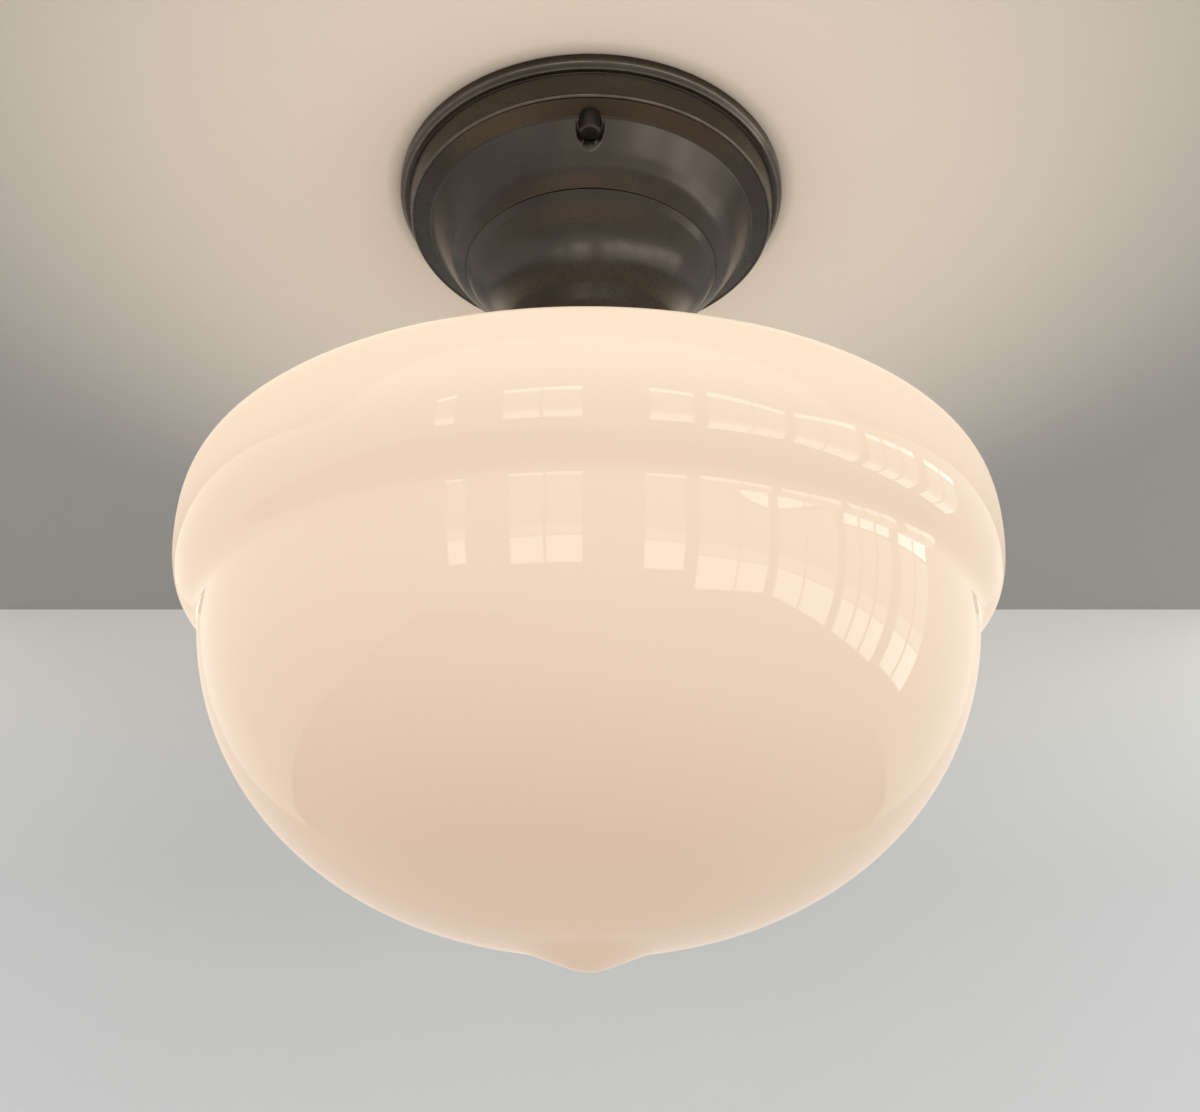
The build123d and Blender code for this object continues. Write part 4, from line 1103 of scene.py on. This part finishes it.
def plaster_finish(name, near, far, reach, around=True, painted_rim_shadow=0.0):
    """Painted plaster, seen from its front only: from behind it lets the view through.

    Its colour goes from near to far with the distance from the light's axis, or on a wall with the depth
    under the ceiling. On the ceiling board the ramp is painted light: a pale warm pool of lamplight round
    the light that fades to grey. A painted shadow darkens a ring along the canopy's rim.
    """
    made, paint = material(name)
    r, z = paint.radius()
    tone = paint.mix(paint.ramp(r if around else 0.0 - z, *reach), near, far)
    shade = 0.02 * paint.noise(7.0, 4.0, 0.6)
    # Painted contact shadow: a darker ring on the ceiling just outside the canopy's rim.
    if painted_rim_shadow:
        shade = shade + paint.ramp(r, RIM_R - 1 * MM, RIM_R + 8 * MM, painted_rim_shadow, 0.0)
    tone = paint.mix(shade, tone, (0.0, 0.0, 0.0))
    normal = paint.bump(paint.noise(260.0, 3.0), 0.15 * MM, 0.5)
    face = paint.node("ShaderNodeBsdfDiffuse", None, {"Color": tone, "Normal": normal})
    clear = paint.node("ShaderNodeBsdfTransparent")
    behind = paint.node("ShaderNodeNewGeometry", output="Backfacing")
    paint.finish(paint.node("ShaderNodeMixShader", None, {0: behind, 1: face, 2: clear}))
    return made


def stage_sheet(name, grid, finish):
    """A flat sheet of the stage from a grid of points."""
    mesh = bpy.data.meshes.new(name)
    mesh.from_pydata(grid.reshape(-1, 3).tolist(), [], grid_quads(grid).tolist())
    mesh.materials.append(finish)
    made = bpy.data.objects.new(name, mesh)
    bpy.context.scene.collection.objects.link(made)


def flat_grid(corner, along, across):
    """Four points: a corner, and the corner moved along two edges."""
    corner, along, across = (np.asarray(v, float) for v in (corner, along, across))
    near = np.stack((corner, corner + across))
    return np.stack((near, near + along))


def window_lights(scene, name, bay, heading, pane):
    """One pane of a window three metres away: lit bands, brightest low down and in the strip at the top."""
    left, right, low, high = bay
    distance = 3.0
    across = (left + right) / 2
    for k, (first, last, share) in enumerate(WINDOW_BANDS):
        lamp = bpy.data.lights.new(f"{name}_{k + 1}", "AREA")
        lamp.shape = "RECTANGLE"
        lamp.size = right - left
        lamp.size_y = (last - first) * (high - low)
        lamp.energy = share * pane * math.pi * lamp.size * lamp.size_y
        lamp.color = (1.0, 0.98, 0.94)
        holder = bpy.data.objects.new(lamp.name, lamp)
        height = low + (first + last) / 2 * (high - low)
        holder.location = (distance, across, height) if heading else (across, -distance, height)
        holder.rotation_euler = (math.pi / 2, 0.0, heading)
        holder.visible_camera = False
        scene.collection.objects.link(holder)


class LIGHT_OT_stage(Operator):
    """Sets the ceiling board, wall, floor, window lights, air and camera"""
    bl_idname = "light.stage"
    bl_label = "Stage"

    def execute(self, context):
        scene = context.scene
        s = scene.light_stage
        half, front, back = 0.52, -0.30, 0.478
        top, floor_z, floor_half, mullion = 0.0004, -1.30, 2.2, 0.04
        hole = RIM_R - 2 * MM
        turn = np.linspace(0, 2 * np.pi, 129)
        reach = 1 / np.maximum(np.abs(np.cos(turn)), np.abs(np.sin(turn)))
        square = np.stack((reach * np.cos(turn), reach * np.sin(turn)), axis=1)
        centre = np.array((0.0, (front + back) / 2))
        outer = centre + square * np.array((half, (back - front) / 2))
        inner = hole * np.stack((np.cos(turn), np.sin(turn)), axis=1)
        ring = np.stack((outer, inner))
        board = np.concatenate((ring, np.full((2, turn.size, 1), top)), axis=2)
        # The ceiling's ramp is a painted pool of lamplight. Its ring at the rim is a painted shadow.
        plaster = plaster_finish("ceiling_plaster", s.ceiling, s.ceiling_far, (0.10, 0.40), painted_rim_shadow=0.35)
        stage_sheet("ceiling_board", board, plaster)
        wall = flat_grid((-half, back, top), (0, 0, floor_z - top), (2 * half, 0, 0))
        plaster = plaster_finish("wall_plaster", s.wall, s.wall_low, (0.0, 0.25), False)
        stage_sheet("back_wall", wall, plaster)
        wide = 2 * floor_half
        ground = flat_grid((-floor_half, -floor_half, floor_z), (wide, 0, 0), (0, wide, 0))
        stage_sheet("floor", ground, plaster_finish("floor_plaster", s.floor, s.floor_far, (1.4, 2.8)))

        for name, windows, heading in (("front", FRONT_WINDOWS, 0.0), ("side", SIDE_WINDOWS, math.pi / 2)):
            for i, (left, right, low, high, panes) in enumerate(windows):
                wide = (right - left) / panes
                for j in range(panes):
                    start = left + j * wide
                    bay = (start + mullion / 2, start + wide - mullion / 2, low, high)
                    window_lights(scene, f"{name}_window_{i + 1}_{j + 1}", bay, heading, s.pane)

        world = scene.world or bpy.data.worlds.new("air")
        scene.world = world
        world.use_nodes = True
        paint = Paint(world.node_tree)
        air = paint.node("ShaderNodeBackground", None, {"Color": (1.0, 0.98, 0.95, 1.0), "Strength": s.air})
        paint.finish(air, "ShaderNodeOutputWorld")

        view = bpy.data.cameras.new("camera")
        view.sensor_width = 36.0
        view.lens = 36.0
        view.clip_start = 0.01
        eye = bpy.data.objects.new("camera", view)
        eye.location = (0.003851, -0.417759, -0.362929)
        eye.rotation_euler = (math.radians(114.63), 0.0, 0.0)
        scene.collection.objects.link(eye)
        scene.camera = eye
        scene.view_settings.view_transform = "Standard"
        return {"FINISHED"}


OPERATORS = (
    LIGHT_OT_globe, LIGHT_OT_canopy, LIGHT_OT_fitter, LIGHT_OT_cap_nuts, LIGHT_OT_thumbscrews,
    LIGHT_OT_ceiling_hardware, LIGHT_OT_nipple, LIGHT_OT_lampholder, LIGHT_OT_wiring, LIGHT_OT_lamp,
    LIGHT_OT_stage)


class LIGHT_PT_panel(Panel):
    """Lists the light's pieces and their sizes"""
    bl_idname = "LIGHT_PT_panel"
    bl_label = "Schoolhouse Light"
    bl_space_type = "VIEW_3D"
    bl_region_type = "UI"
    bl_category = "Light"

    def draw(self, context):
        for operator in OPERATORS:
            self.layout.operator(operator.bl_idname)
        for group, kind in GROUPS.items():
            box = self.layout.box()
            for name in kind.__annotations__:
                box.prop(getattr(context.scene, group), name)


CLASSES = (*GROUPS.values(), *OPERATORS, LIGHT_PT_panel)


def register():
    for kind in CLASSES:
        bpy.utils.register_class(kind)
    for name, kind in GROUPS.items():
        setattr(bpy.types.Scene, name, PointerProperty(type=kind))


def unregister():
    for name in GROUPS:
        delattr(bpy.types.Scene, name)
    for kind in reversed(CLASSES):
        bpy.utils.unregister_class(kind)


def main():
    register()
    for operator in OPERATORS:
        group, name = operator.bl_idname.split(".")
        getattr(getattr(bpy.ops, group), name)()


if __name__ == "__main__":
    main()
